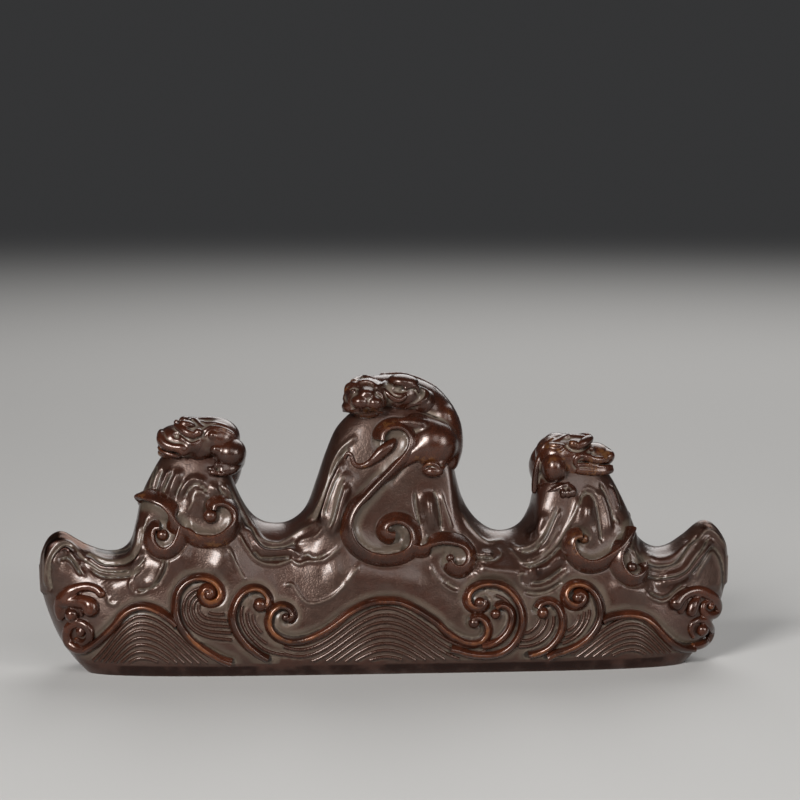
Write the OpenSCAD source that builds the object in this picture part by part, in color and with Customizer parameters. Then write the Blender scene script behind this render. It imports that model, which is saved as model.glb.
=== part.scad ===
// Brush rest: a five-peaked bronze mountain that rises out of breaking waves, with a young
// hornless dragon lying on each of its three tall peaks. Brushes lie in the four valleys.
// X runs along the rest, Y is its depth with the front at -Y, Z is up from the flat foot.

/* [Body] */
// Length over the two end lobes
length = 166; // [150:1:182]
// Thickness of the mountain where the waves are
thickness = 30.6; // [26:0.2:36]
// How squarely a ridge turns from the face to its top, from round to square
crown_power = 6; // [4:1:10]
// How far each relief piece is let into the face
seat = 0.5; // [0.3:0.1:0.8]

/* [Waves] */
// Height of a wave crest over the face
crest_h = 1.5; // [1:0.1:2.2]
// Width of a wave crest
crest_w = 2.3; // [1.6:0.1:2.8]
// Height of a fine water line over the face
line_h = 0.6; // [0.3:0.05:0.9]
// Width of a fine water line
line_w = 0.8; // [0.6:0.05:0.9]
// Height at which the water lines end over the plain foot band
band_top = 3.3; // [2.5:0.1:4.5]

/* [Rock] */
// Height of a rounded fold of rock over the face
fold_h = 0.7; // [0.3:0.05:1]
// Width of a rounded fold of rock
fold_w = 1.8; // [1.2:0.1:2.4]

/* [Dragons] */
// Height of a scrolled tail over the face
tail_h = 2.1; // [1.4:0.1:2.8]
// Width of a scrolled tail
tail_w = 2.4; // [1.8:0.1:3]

/* [Detail] */
// Steps along the mountain between two points of its outline
ridge_steps = 2; // [1:1:4]
// Rows of facets up each face of the mountain
face_rows = 7; // [6:1:16]
// Sides round a dragon's rounded forms
round_sides = 10; // [8:2:16]
// Sides round a small form, such as a toe or a knob
small_sides = 8; // [6:2:12]

/* [Hidden] */

drawn_length = 166;          // the points below are drawn at this length
drawn_half = drawn_length / 2;
tip_half = drawn_half + 0.15; // where the two faces would meet, just past each tip
k_len = length / drawn_length;
end_draw_power = 8;

// Outline of the bare mountain from its left tip to its right tip, as [x, z]
ridge_points = [
    [-83, 25], [-82.5, 28], [-81, 31.2], [-79, 32.8], [-77, 32.8], [-74, 31], [-71, 29.4],
    [-67, 28.2], [-63.5, 28.6], [-61.2, 31], [-59.8, 36], [-58.6, 41.5], [-56, 47], [-53, 51.5],
    [-48, 54.5], [-42, 54.5], [-38.5, 50], [-36, 43], [-33, 37.5], [-29.5, 34.8], [-25, 34.4],
    [-21.5, 36], [-19, 39], [-16.8, 45], [-14.4, 52], [-11.5, 58], [-6, 62.5], [2, 64],
    [9, 62.5], [14, 57], [16, 48], [18, 40.5], [21, 35.5], [25, 32.4], [29, 32],
    [32.6, 34], [34.9, 38.5], [36.4, 45], [40, 50.5], [45, 52], [50, 50], [54, 45],
    [57.2, 39], [59.4, 34], [61, 30], [64.5, 27.6], [68, 27.8], [72, 30.4],
    [75, 33], [77.5, 33.8], [80, 32.2], [82.3, 28.6], [83, 25]];
// Share of the half thickness at each height, as [z, share]
side_points = [[0, 0.86], [1.6, 0.93], [4.5, 0.985], [9, 1], [15, 0.955], [22, 0.86],
    [30, 0.75], [38, 0.66], [46, 0.6], [56, 0.56], [72, 0.53]];
// How far the ends draw in below their widest, as [z, mm]
tuck_points = [[0, 11], [3, 7.8], [7, 4.9], [12, 2.6], [18, 0.8], [24, 0], [72, 0]];

function unit(v) = v / max(norm(v), 0.000001);
// Point at share t between b and c of the smooth curve through a, b, c and d
function on_curve(a, b, c, d, t) =
    b + t * ((c - a) / 2 + t * (a - 2.5 * b + 2 * c - d / 2 + t * (1.5 * (b - c) + (d - a) / 2)));
// Smooth curve through the points p, n steps between two of them
function curve(p, n) = let (last = len(p) - 1) concat(
    [for (i = [0 : last - 1], j = [0 : n - 1])
        on_curve(p[max(i - 1, 0)], p[i], p[i + 1], p[min(i + 2, last)], j / n)],
    [p[last]]);

ridge_line = curve(ridge_points, ridge_steps);
side_line = curve(side_points, 3);
tuck_line = curve(tuck_points, 3);
function ridge(x) = lookup(x, ridge_line);
function tuck(x, z) =
    sign(x) * lookup(z, tuck_line) * pow(min(abs(x), drawn_half) / drawn_half, end_draw_power);
// Station on the outline whose upright row passes through x at height z
function station(x, z) = let (first = x + tuck(x, z)) x + tuck(first, z);
function plan(s) = sqrt(max(0, 1 - pow(abs(s) / tip_half, 4)));
function crown(t) = sqrt(max(0, 1 - pow(min(1, max(0, t)), crown_power)));
function half_depth(s, z) =
    thickness / 2 * lookup(z, side_line) * plan(s) * crown(z / ridge(s));
// Half thickness of the mountain at x, z
function face(x, z) = half_depth(station(x, z), z);
// Unit vector out of the front face at p = [x, z]
nudge = 0.3;
function outward(p) = unit([
    (face(p[0] - nudge, p[1]) - face(p[0] + nudge, p[1])) / (2 * nudge), -1,
    (face(p[0], p[1] - nudge) - face(p[0], p[1] + nudge)) / (2 * nudge)]);
// Point on the front face at p, raised by up
function on_face(p, up) = [p[0], -face(p[0], p[1]), p[1]] + up * outward(p);
function stretch(p) = [p[0] * k_len, p[1], p[2]];

// Closed skin over a row of rings, all of the same number of points
module skin(rings, caps) {
    n = len(rings[0]);
    last = len(rings) - 1;
    polyhedron(
        points = [for (r = rings, p = r) stretch(p)],
        faces = concat(
            [for (i = [0 : last - 1], j = [0 : n - 1])
                let (a = i * n + j, b = i * n + (j + 1) % n) each [[a, b, b + n], [a, b + n, a + n]]],
            [for (f = caps) [for (j = [len(f) - 1 : -1 : 0]) f[j]]],
            [for (f = caps) [for (j = f) last * n + j]]),
        convexity = 8);
}
function fan_cap(n) = [for (j = [1 : n - 2]) [0, j, j + 1]];

// One mesh from parts that run into each other
module cast() resize([0, 0, 0]) union() children();

// Upright row of the mountain at outline point p, on the front (-1) or back (1) face.
// Its facets crowd towards the ridge, where the face turns over.
function row_share(j) = 1 - pow(1 - j / face_rows, 1.7);
function upright(p, side) = [for (j = [0 : face_rows - 1]) let (z = p[1] * row_share(j))
    [p[0] - tuck(p[0], z), side * half_depth(p[0], z), z]];
// Ring round the mountain: up the front, over the ridge and down the back
function ring(p) = let (back = upright(p, 1)) concat(
    upright(p, -1), [[p[0], 0, p[1]]], [for (j = [face_rows - 1 : -1 : 0]) back[j]]);

module mountain() color([0.20, 0.13, 0.11]) {
    // An end closes with rungs from the front row to the back row and one gable at the ridge
    rungs = [for (j = [0 : face_rows - 2])
        let (k = 2 * face_rows - j) each [[j, j + 1, k - 1], [j, k - 1, k]]];
    gable = [[face_rows - 1, face_rows, face_rows + 1]];
    skin([for (p = ridge_line) ring(p)], concat(rungs, gable));
}

// Cross sections of a relief strip, as [share of width, share of height]
RIB = [[-0.5, 0], [0, 1], [0.5, 0]];
BAND = [[-0.5, 0], [-0.28, 0.85], [0.22, 1], [0.5, 0]];

// Strip of relief along the path of [x, z] points on the front face. Its two edges are let
// into the face, and its width and height run down to the share tip at both ends.
module strip(path, w, h, section = RIB, tip = 0.4) {
    last = len(path) - 1;
    size = [for (i = [0 : last]) let (t = i / last)
        min(1, tip + (1 - tip) * min(t, 1 - t) * 6)];
    skin([for (i = [0 : last]) let (
        along = unit(path[min(i + 1, last)] - path[max(i - 1, 0)]),
        across = [-along[1], along[0]])
        [for (s = section)
            on_face(path[i] + s[0] * w * size[i] * across,
                s[1] == 0 ? -seat : s[1] * h * size[i])]],
        fan_cap(len(section)));
}

// Round knob at p on the front face
module knob(p, r) translate(stretch(on_face(p, 0.25 * r))) sphere(r, $fn = small_sides);

// Spiral about the eye: radius r0 at angle a0, r1 after the sweep, closing faster with ease
function spiral(eye, r0, a0, sweep, r1, ease = 1.5, n = 12) = [for (i = [0 : n]) let (
    t = i / n, r = r1 + (r0 - r1) * pow(1 - t, ease), a = a0 + sweep * t)
    eye + r * [cos(a), sin(a)]];
// A stem that runs smoothly into a spiral
function scroll(stem, coil, n = 2) = concat(curve(concat(stem, [coil[0]]), n),
    [for (i = [1 : len(coil) - 1]) coil[i]]);

// Height of a swell at x: a smooth hump between two troughs, lowered by drop
// swell = [x of the top, z of the top, z of the troughs, reach to the left, reach to the right]
function hump(swell, x, drop) = let (s = (x - swell[0]) / (x < swell[0] ? swell[3] : swell[4]))
    swell[2] - drop + (swell[1] - swell[2]) * (0.5 + 0.5 * cos(180 * s));
// Share of its reach at which the lowered swell comes down to the foot band
function landing(swell, drop, limit) = let (
    f = (band_top - swell[2] + drop) / (swell[1] - swell[2]))
    f <= 0 ? limit : min(limit, acos(2 * f - 1) / 180);
function swell_path(swell, drop, from, to, n) = let (
    a = swell[0] - min(from, landing(swell, drop, from)) * swell[3],
    b = swell[0] + min(to, landing(swell, drop, to)) * swell[4])
    [for (i = [0 : n]) let (x = a + (b - a) * i / n) [x, hump(swell, x, drop)]];
// Water lines nested under a swell
module swell_lines(swell, first, step, count, from, to, n)
    for (k = [0 : count - 1])
        strip(swell_path(swell, first + k * step, from, to, n), line_w, line_h);

// Water lines spread evenly between an outer and an inner guide
module lines_between(outer, inner, count, n = 2)
    for (k = [0 : count - 1]) let (t = k / (count - 1))
        strip(curve([for (i = [0 : len(outer) - 1]) outer[i] * (1 - t) + inner[i] * t], n),
            line_w, line_h);

WATER = [0.33, 0.17, 0.11];
LINES = [0.25, 0.16, 0.13];
ROCK = [0.23, 0.15, 0.12];
WORN = [0.42, 0.22, 0.12];

left_swell = [-59.3, 16, 3, 15, 21];
centre_wave = [-1.3, 17.6, 8.1, 20.3, 20.3];
right_swell = [55.9, 14, 4, 20, 17];

left_breaker_eye = [-42.4, 18.8];
left_breaker_path = scroll([[-29.5, 3.8], [-38, 6.4], [-45, 8.9], [-49.6, 13]],
    spiral(left_breaker_eye, 8.6, 190, -400, 1.8, 3, 16));
second_breaker_eye = [-31.2, 16.8];
second_breaker_path = scroll([[-24.5, 3.6], [-31.3, 5.8], [-36, 10.4]],
    spiral(second_breaker_eye, 6.5, 200, -350, 1.5, 1.7, 14));
swell_left_eye = [-26, 12.8];
swell_right_eye = [20.4, 11.4];
function reversed(p) = [for (i = [len(p) - 1 : -1 : 0]) p[i]];
centre_swell_path = concat(
    reversed(spiral(swell_left_eye, 4.9, 291, -310, 2, 2, 10)),
    swell_path(centre_wave, 0, 0.85, 0.85, 12),
    spiral(swell_right_eye, 3.9, 245, 290, 2, 1.5, 10));
right_breaker_eye = [20.9, 17.9];
right_breaker_path = scroll([[16, 4.8], [22.5, 3.9], [28, 5.6], [31.4, 10.3]],
    spiral(right_breaker_eye, 11.6, -18, 370, 1.8, 5, 18));
inner_curl_eye = [25.1, 13.9];
inner_curl_path = scroll([[20.8, 6.6], [25.3, 8.2]],
    spiral(inner_curl_eye, 3.9, -52, 255, 1.3, 1.2, 9));
fourth_breaker_eye = [36.4, 14.9];
fourth_breaker_path = scroll([[27, 4.5], [33.4, 6.3]],
    spiral(fourth_breaker_eye, 4.4, -54, 290, 1.6, 1.3, 11));
fifth_breaker_eye = [44.3, 17.9];
fifth_breaker_path = scroll([[35.8, 4.7], [43.2, 7.8]],
    spiral(fifth_breaker_eye, 5.8, -38, 275, 2.2, 1.5, 11));

module left_fan_crest() color(WATER)
    strip(swell_path(left_swell, 0, 0.78, 0.95, 14), crest_w * 0.8, crest_h * 0.8, BAND);
module left_fan_lines() color(LINES)
    swell_lines(left_swell, 1.5, 1.5, 7, 0.8, 1, 8);
module left_breaker() color(WATER) cast() {
    strip(left_breaker_path, crest_w, crest_h, BAND);
    knob(left_breaker_eye, 1.2);
}
module left_breaker_lines() color(LINES)
    lines_between([[-45.5, 20.6], [-48.6, 16.5], [-47.2, 12.4], [-42.5, 9.4], [-36.5, 8.2]],
        [[-44.5, 16.4], [-44.7, 15.6], [-43.6, 14.8], [-41.5, 14], [-38.5, 13.6]], 5);
module second_breaker() color(WATER) cast() {
    strip(second_breaker_path, crest_w, crest_h, BAND);
    knob(second_breaker_eye, 1.1);
}
module second_breaker_lines() color(LINES)
    lines_between([[-33.5, 18.2], [-35, 14.8], [-33.8, 11.3], [-31, 8], [-27.5, 6]],
        [[-32.6, 15.6], [-32.4, 14.2], [-31.6, 12.4], [-30.4, 10.8], [-29.4, 9.6]], 3);
module centre_swell() color(WATER) cast() {
    strip(centre_swell_path, crest_w, crest_h, BAND);
    knob(swell_left_eye, 1.3);
    knob(swell_right_eye, 1.2);
}
module centre_swell_lines() color(LINES)
    swell_lines(centre_wave, 1.8, 1.6, 7, 1.22, 1.25, 12);
module right_breaker() color(WATER) cast() {
    strip(right_breaker_path, crest_w, crest_h, BAND);
    strip(inner_curl_path, crest_w * 0.8, crest_h * 0.8, BAND);
    knob(right_breaker_eye, 1.1);
    knob(inner_curl_eye, 1);
}
module right_breaker_lines() color(LINES)
    lines_between([[27.6, 5.9], [29.8, 9], [30.6, 12.5], [29.6, 15.8], [27, 18.2]],
        [[26.6, 7], [28.6, 10], [29.2, 12.8], [28.4, 15.4], [26.2, 17.2]], 2);
module fourth_breaker() color(WATER) cast() {
    strip(fourth_breaker_path, crest_w * 0.85, crest_h * 0.9, BAND);
    knob(fourth_breaker_eye, 1.2);
}
module fourth_breaker_lines() color(LINES)
    lines_between([[29.5, 7], [33.4, 8.2], [36.6, 10.6], [38.2, 13.8]],
        [[31.2, 10.6], [32.6, 11], [33.8, 12], [34.4, 13.4]], 3);
module fifth_breaker() color(WATER) cast() {
    strip(fifth_breaker_path, crest_w, crest_h, BAND);
    knob(fifth_breaker_eye, 1.5);
}
module fifth_breaker_lines() color(LINES)
    lines_between([[39.4, 7.2], [43.4, 9.4], [46.2, 12.3], [47.4, 15.6]],
        [[40.2, 12], [41.6, 12.6], [42.6, 13.8], [42.8, 15.2]], 4);
module right_fan_crest() color(WATER)
    strip(swell_path(right_swell, 0, 0.3, 0.8, 10), crest_w * 0.8, crest_h * 0.8, BAND);
module right_fan_lines() color(LINES)
    swell_lines(right_swell, 1.3, 1.3, 7, 0.76, 0.72, 8);

// Cloud scrolls that close each end of the waves
left_cloud_eye = [-75.2, 17];
right_cloud_eye = [74.6, 17];
module left_end_cloud() color(WATER) cast() {
    strip(scroll([[-67, 19], [-69.5, 21.3]],
        spiral(left_cloud_eye, 5, 65, 330, 2.4, 1.2, 11)), crest_w, crest_h * 1.2, BAND);
    strip(spiral([-73.4, 9.4], 3.4, 100, 300, 2, 1, 9), crest_w * 0.8, crest_h, BAND);
    knob(left_cloud_eye, 2);
    knob([-70.6, 16.4], 1.9);
    knob([-73.4, 9.4], 1.2);
}
module right_end_cloud() color(WATER) cast() {
    strip(scroll([[65.4, 17], [68, 20]],
        spiral(right_cloud_eye, 5, 125, -330, 2.4, 1.2, 11)), crest_w, crest_h * 1.2, BAND);
    strip(spiral([73, 10.2], 3.2, 80, -300, 2, 1, 9), crest_w * 0.8, crest_h, BAND);
    knob(right_cloud_eye, 2);
    knob([68, 17.4], 2);
    knob([71, 15.6], 1.8);
    knob([73, 10.2], 1.3);
}

// Rounded folds of rock, each through a few hand-set points
module folds(paths, w, h, n = 2) color(ROCK)
    for (p = paths) strip(curve(p, n), w, h);

lobe_arches = [
    [[-80, 21], [-79.8, 26.5], [-78.4, 29.8], [-76.4, 30], [-73.6, 27.5], [-71, 26]],
    [[-77.8, 21], [-77, 25.4], [-75.8, 27], [-74, 25], [-72.6, 22.8]],
    [[-72, 25], [-68, 24], [-63.5, 24.2], [-60.2, 27], [-58.4, 32], [-57.6, 37]],
    [[-71, 22.6], [-65, 21.4], [-60.4, 22.6], [-57.6, 25.6]],
    [[-53.6, 26.8], [-53.6, 23.6], [-56, 20.6], [-59, 19.2], [-61, 20.6], [-60.2, 22]]];
module left_lobe_folds() folds(lobe_arches, fold_w, fold_h);
left_peak_lines = [
    [[-53, 48.6], [-55, 45.6], [-56.6, 42]],
    [[-49.4, 48], [-51.2, 45.6], [-52, 42.6]],
    [[-45.6, 46.6], [-43.6, 45.6], [-41.8, 42.4]],
    [[-40.4, 45.6], [-38.6, 42], [-36.6, 37.4], [-35.6, 34]]];
module left_peak_folds() folds(left_peak_lines, fold_w * 0.8, fold_h);
left_valley_lines = [
    [[-34.6, 34.6], [-32.4, 31], [-29, 28.8], [-23.4, 29], [-17.6, 30], [-14, 34.4], [-11.6, 41],
        [-9.8, 46.4]],
    [[-35, 30.6], [-32, 27], [-28, 26], [-22, 26.6], [-15, 27.4], [-11.4, 30.4]],
    [[-38.4, 30.6], [-36, 26], [-33.6, 22]],
    [[-23.6, 20.4], [-21.6, 18], [-17, 16.8], [-12, 20], [-7, 25.4]]];
module left_valley_folds() folds(left_valley_lines, fold_w * 1.1, fold_h);
centre_peak_lines = [
    [[-15, 44], [-12.2, 51], [-8.6, 56]],
    [[5.4, 43.8], [6.6, 38], [7.2, 33.4]],
    [[11, 43.8], [12, 38], [14, 34]],
    [[9.4, 26], [11.2, 22.6], [13.6, 20], [16.2, 19]]];
module centre_peak_folds() folds(centre_peak_lines, fold_w, fold_h);
right_valley_lines = [
    [[39.8, 39.4], [37.4, 34], [33.6, 30.2], [30, 29.4]],
    [[41.4, 37.6], [38.4, 32], [34.6, 27.8], [31, 27.4]],
    [[44.2, 38], [41.4, 32.6], [37, 27.6], [32, 26]],
    [[19.6, 27.8], [22.6, 26.4], [26, 27.2], [24.6, 29.4]],
    [[41.6, 24.8], [37.6, 22.2], [33.6, 21.6], [30.8, 22.4]]];
module right_valley_folds() folds(right_valley_lines, fold_w, fold_h);
right_peak_lines = [
    [[43, 37.6], [44.6, 41.4], [46.8, 42.8], [49, 40.4], [50, 35.4]],
    [[46.4, 45.4], [50, 42.8], [52.4, 38.6], [53.8, 35]]];
module right_peak_folds() folds(right_peak_lines, fold_w, fold_h);
right_lobe_arches = [
    [[56.4, 33], [58.6, 27.6], [62, 25], [66, 25], [70, 27]],
    [[58.4, 25], [61.4, 22.6], [66, 21.8], [70, 23.6], [73.4, 28.6], [76, 31], [78.6, 29],
        [80, 22]],
    [[72.4, 21.6], [74.4, 26], [76, 27.8], [77.4, 25.4], [77.8, 21]]];
module right_lobe_folds() folds(right_lobe_arches, fold_w, fold_h);

// The back carries the same waves, seen through the mountain
module on_back() mirror([0, 1, 0]) children();
module back_left_fan() on_back() left_fan_crest();
module back_left_breaker() on_back() left_breaker();
module back_second_breaker() on_back() second_breaker();
module back_swell() on_back() centre_swell();
module back_right_breaker() on_back() right_breaker();
module back_fourth_breaker() on_back() fourth_breaker();
module back_fifth_breaker() on_back() fifth_breaker();
module back_right_fan() on_back() right_fan_crest();
module back_water_lines() on_back() color(LINES) {
    swell_lines(left_swell, 3, 3, 3, 0.8, 1, 6);
    swell_lines(centre_wave, 1.8, 3.2, 4, 1.22, 1.25, 8);
    swell_lines(right_swell, 2.6, 2.6, 3, 0.76, 0.72, 6);
}
module back_folds() on_back() {
    folds([lobe_arches[0], lobe_arches[2], left_valley_lines[0], right_valley_lines[1],
        right_lobe_arches[1]], fold_w, fold_h, 1);
}

// Rounded limb through 3-D points, each [x, y, z, radius]
module limb(points, n = 2, sides = round_sides) {
    p = curve(points, n);
    last = len(p) - 1;
    spots = [for (q = p) [q[0], q[1], q[2]]];
    skin([for (i = [0 : last]) let (
        along = unit(spots[min(i + 1, last)] - spots[max(i - 1, 0)]),
        side = unit(cross(along, [0.13, 1, 0.21])),
        over = cross(side, along))
        [for (j = [0 : sides - 1]) let (a = 360 * j / sides)
            spots[i] + p[i][3] * (cos(a) * side + sin(a) * over)]],
        fan_cap(sides));
}
// Egg-shaped form at p with half sizes r, tilted about Y
module egg(p, r, tilt = 0, sides = small_sides) translate(stretch(p)) rotate([0, tilt, 0])
    scale(r) sphere(1, $fn = sides);
// Point on the back face at x, z, sunk so that a limb of radius r half rests on it
function behind(x, z, r) = [x, face(x, z) + 0.35 * r, z, r];

// A dragon's head that looks along +X from the origin: skull, snout, jaw, brows, ears, mane
module dragon_head() {
    egg([0, 0, 0.4], [6.4, 6, 4.6], 0, round_sides);
    egg([6.2, 0, 0.2], [3.6, 4, 2.6], 8, round_sides);
    egg([5.8, 0, -3], [3.2, 3.2, 1.7]);
    for (side = [-1, 1]) {
        egg([8.4, side * 1.9, 1.2], [1.4, 1.5, 1.3]);
        egg([3, side * 4.2, 2.6], [2.4, 1.2, 1.2], -12);
        egg([-2.4, side * 5, 1.6], [2.4, 1.3, 2.1], 20);
        limb([[-1, side * 3, 4, 0.8], [-5, side * 4, 3.6, 1], [-8, side * 3.6, 0.4, 0.6]], 2, 6);
    }
    limb([[2, 0, 4.6, 0.9], [-3, 0, 5, 1.2], [-7.6, 0, 2.4, 0.9]], 2, 6);
}
left_head = [-46, -1.6, 55.4];
right_head = [45.4, -1.4, 51.6];
centre_head = [-3.6, -3, 65.2];

module left_dragon_head() color(WORN) cast()
    translate(stretch(left_head)) rotate([0, 0, 192]) dragon_head();
module left_dragon_body() color(WORN) cast() {
    limb([[-40, 0, 53, 4], [-37.6, 3.4, 50, 4], behind(-40, 44, 4), behind(-47, 39, 4),
        behind(-54.5, 38, 3.4), [-59.6, 2.5, 40.6, 2], [-59.4, -2.6, 41.4, 1.4]], 2);
    egg([-38.4, -3.2, 53], [4, 3.6, 3.2]);
}
module left_dragon_paw() color(WORN) cast() {
    limb([[-38.4, -4.6, 51, 1.8], [-39, -7.2, 48.8, 1.6], [-40.4, -8, 47.8, 1.2]], 1, 8);
    for (k = [-1 : 1])
        egg([-40.6 + 2.2 * k, -8.6, 47.6 + 0.4 * k], [1.1, 1.3, 0.9]);
}
left_tail_path = scroll([[-58.4, 41.4], [-55, 40.4], [-51.8, 37.7], [-50, 34.9], [-45.5, 32.6]],
    spiral([-41.6, 36.6], 4.3, -84, 280, 2.8, 1, 12));
left_tail_branch = scroll([[-49.8, 35.4], [-49.9, 33]],
    spiral([-53.4, 31.8], 3.4, -15, -290, 2.9, 1, 10));
module left_dragon_tail() color(WORN) cast() {
    strip(left_tail_path, tail_w, tail_h, BAND);
    strip(left_tail_branch, tail_w * 0.85, tail_h * 0.85, BAND);
    knob([-42.4, 37.4], 1.7);
    knob([-53.8, 33.2], 1.2);
}

module centre_dragon_head() color(WORN) cast() {
    egg(centre_head, [5.4, 5, 4.4], 0, round_sides);
    for (side = [-1, 1])
        egg([-4.8 + 1.8 * side, -7.4, 64.6], [1.5, 1.5, 1.2]);
    egg([-5, -6.4, 62.8], [3, 2, 1.3]);
    limb([[-4.8, -7.2, 66.4, 0.8], [-4.4, -5.6, 68.6, 1.1], [-3.4, -2, 69.4, 1.2]], 2, 6);
    egg([-8, -5.6, 67.2], [1.9, 1.3, 1]);
    egg([-1.4, -6, 67.2], [1.9, 1.3, 1]);
    egg([4.2, -2.6, 67], [3.6, 2, 3.2], -15);
    egg([-6.6, 1.6, 68], [2.4, 1.6, 2], 15);
    limb([[2, 2, 68.6, 1], [6.4, 2, 68, 1.2], [9.4, 0.4, 65, 0.8]], 2, 6);
}
module centre_dragon_body() color(WORN) cast() {
    limb([[-2, 0, 65, 4.4], [4, 2, 64, 5], [9.6, 2, 61, 5.4], [12, -1.4, 56.6, 5.2],
        [9.6, -5, 53.6, 4.2], [6, -7, 54.4, 2.6]], 2);
    egg([10, -5, 54.6], [6, 4.4, 5.6], 30, round_sides);
}
module centre_dragon_legs() color(WORN) cast() {
    limb([[11.4, -5.6, 51.6, 2.6], [12.4, -7.6, 48.6, 2], [10, -8.8, 47.6, 1.7]], 1, 8);
    for (k = [-1 : 1])
        egg([10.4 + 2.2 * k, -9.2, 46.6 + 0.4 * abs(k)], [1.1, 1.4, 1]);
    limb([[1, -8, 54.2, 1.2], [-1.6, -8.6, 51.4, 1.2], [-6, -8.4, 49.6, 1.2],
        [-9.4, -7.6, 52, 1]], 2, 6);
}
centre_tail_path = scroll([[0.6, 57.6], [3, 57.8], [4.4, 55.6], [3.2, 52], [-0.6, 47.4],
    [-5.6, 41.6], [-8.8, 36.6], [-9.2, 33.4], [-7.4, 30], [-3.4, 28], [1, 28]],
    spiral([1.8, 33.2], 4.6, -60, 275, 1.5, 1, 11));
centre_tail_branch = scroll([[5.6, 29.6], [9.6, 30.8], [14.2, 31]],
    spiral([15.7, 27.5], 2.8, 68, -230, 2.1, 1, 8));
module centre_dragon_tail() color(WORN) cast() {
    strip(centre_tail_path, tail_w, tail_h, BAND);
    strip(centre_tail_branch, tail_w * 0.85, tail_h * 0.8, BAND);
    knob([1.6, 33.4], 1.2);
    knob([15.3, 27.4], 1.2);
}

module right_dragon_head() color(WORN) cast()
    translate(stretch(right_head)) rotate([0, 0, -12]) scale(0.93) dragon_head();
module right_dragon_body() color(WORN) cast() {
    limb([[41, 0, 51.6, 4], [39.4, 3.4, 48.4, 4], behind(41.4, 42.6, 4), behind(48, 38, 4),
        behind(55, 35, 3.4), [59.8, 2.5, 35.4, 2], [58.8, -3, 35.6, 1.4]], 2);
    egg([40, -4, 49.4], [3, 3.4, 3.6]);
}
module right_dragon_paw() color(WORN) cast() {
    limb([[38.6, -6, 46, 1.8], [40, -8, 43.8, 1.6], [42.6, -8.6, 42.6, 1.2]], 1, 8);
    for (k = [-1 : 1])
        egg([42.4 + 1.9 * k, -9.4, 42.2 + 0.3 * k], [1, 1.3, 0.9]);
}
right_tail_path = scroll([[58, 35.8], [57.2, 33.4], [54.9, 30], [50.5, 27.1]],
    spiral([46, 29.2], 3.3, -60, -230, 2.8, 1, 10));
right_tail_branch = scroll([[57, 32.4], [55, 28.6]],
    spiral([57.4, 24.7], 2.9, 158, 290, 1.7, 1, 10));
module right_dragon_tail() color(WORN) cast() {
    strip(right_tail_path, tail_w, tail_h, BAND);
    strip(right_tail_branch, tail_w * 0.85, tail_h * 0.85, BAND);
    knob([45.6, 30.4], 1.3);
    knob([57.3, 24.9], 1.2);
}

mountain();
left_lobe_folds();
left_peak_folds();
left_valley_folds();
centre_peak_folds();
right_valley_folds();
right_peak_folds();
right_lobe_folds();
left_fan_crest();
left_fan_lines();
left_breaker();
left_breaker_lines();
second_breaker();
second_breaker_lines();
centre_swell();
centre_swell_lines();
right_breaker();
right_breaker_lines();
fourth_breaker();
fourth_breaker_lines();
fifth_breaker();
fifth_breaker_lines();
right_fan_crest();
right_fan_lines();
left_end_cloud();
right_end_cloud();
back_left_fan();
back_left_breaker();
back_second_breaker();
back_swell();
back_right_breaker();
back_fourth_breaker();
back_fifth_breaker();
back_right_fan();
back_water_lines();
back_folds();
left_dragon_head();
left_dragon_body();
left_dragon_paw();
left_dragon_tail();
centre_dragon_head();
centre_dragon_body();
centre_dragon_legs();
centre_dragon_tail();
right_dragon_head();
right_dragon_body();
right_dragon_paw();
right_dragon_tail();
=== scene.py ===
# %% [markdown]
# # A bronze brush rest, dressed in Blender
# The real rest is one lost-wax casting: a mountain with five peaks that rises out of breaking
# waves, and a young hornless dragon on each of the three tall peaks. Writing brushes lie in the
# valleys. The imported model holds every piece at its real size. This lesson gives each piece the
# surface of the casting, and a patina that is dark in the hollows and rubbed on the crests.

# %% Load the frame
import math

import bmesh
import bpy
import numpy as np
from mathutils import Matrix, Vector, noise


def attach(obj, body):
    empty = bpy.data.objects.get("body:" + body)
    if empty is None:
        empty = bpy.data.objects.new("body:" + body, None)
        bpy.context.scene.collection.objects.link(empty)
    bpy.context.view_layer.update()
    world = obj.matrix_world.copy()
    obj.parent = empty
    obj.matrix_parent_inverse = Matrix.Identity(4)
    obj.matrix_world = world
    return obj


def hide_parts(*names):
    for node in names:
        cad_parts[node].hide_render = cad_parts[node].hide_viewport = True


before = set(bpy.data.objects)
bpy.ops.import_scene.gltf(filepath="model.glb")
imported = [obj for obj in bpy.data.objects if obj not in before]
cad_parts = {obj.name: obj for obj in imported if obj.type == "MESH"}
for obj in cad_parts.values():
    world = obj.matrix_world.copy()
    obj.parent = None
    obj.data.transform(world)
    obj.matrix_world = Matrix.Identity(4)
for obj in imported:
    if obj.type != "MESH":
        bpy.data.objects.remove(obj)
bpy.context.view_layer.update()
MM = 0.001
print("nodes in the frame:", len(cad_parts))

# %% [markdown]
# ## The bare mountain as a formula
# A wax maker starts from a plain core. Its outline is a row of points, and every upright slice
# through it is a rounded wall that thins as it rises. A formula is better here than a block of
# mesh, because every wave, fold and tail below has to know where the face is and which way it
# looks. The points are the ones the core was built from.

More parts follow.
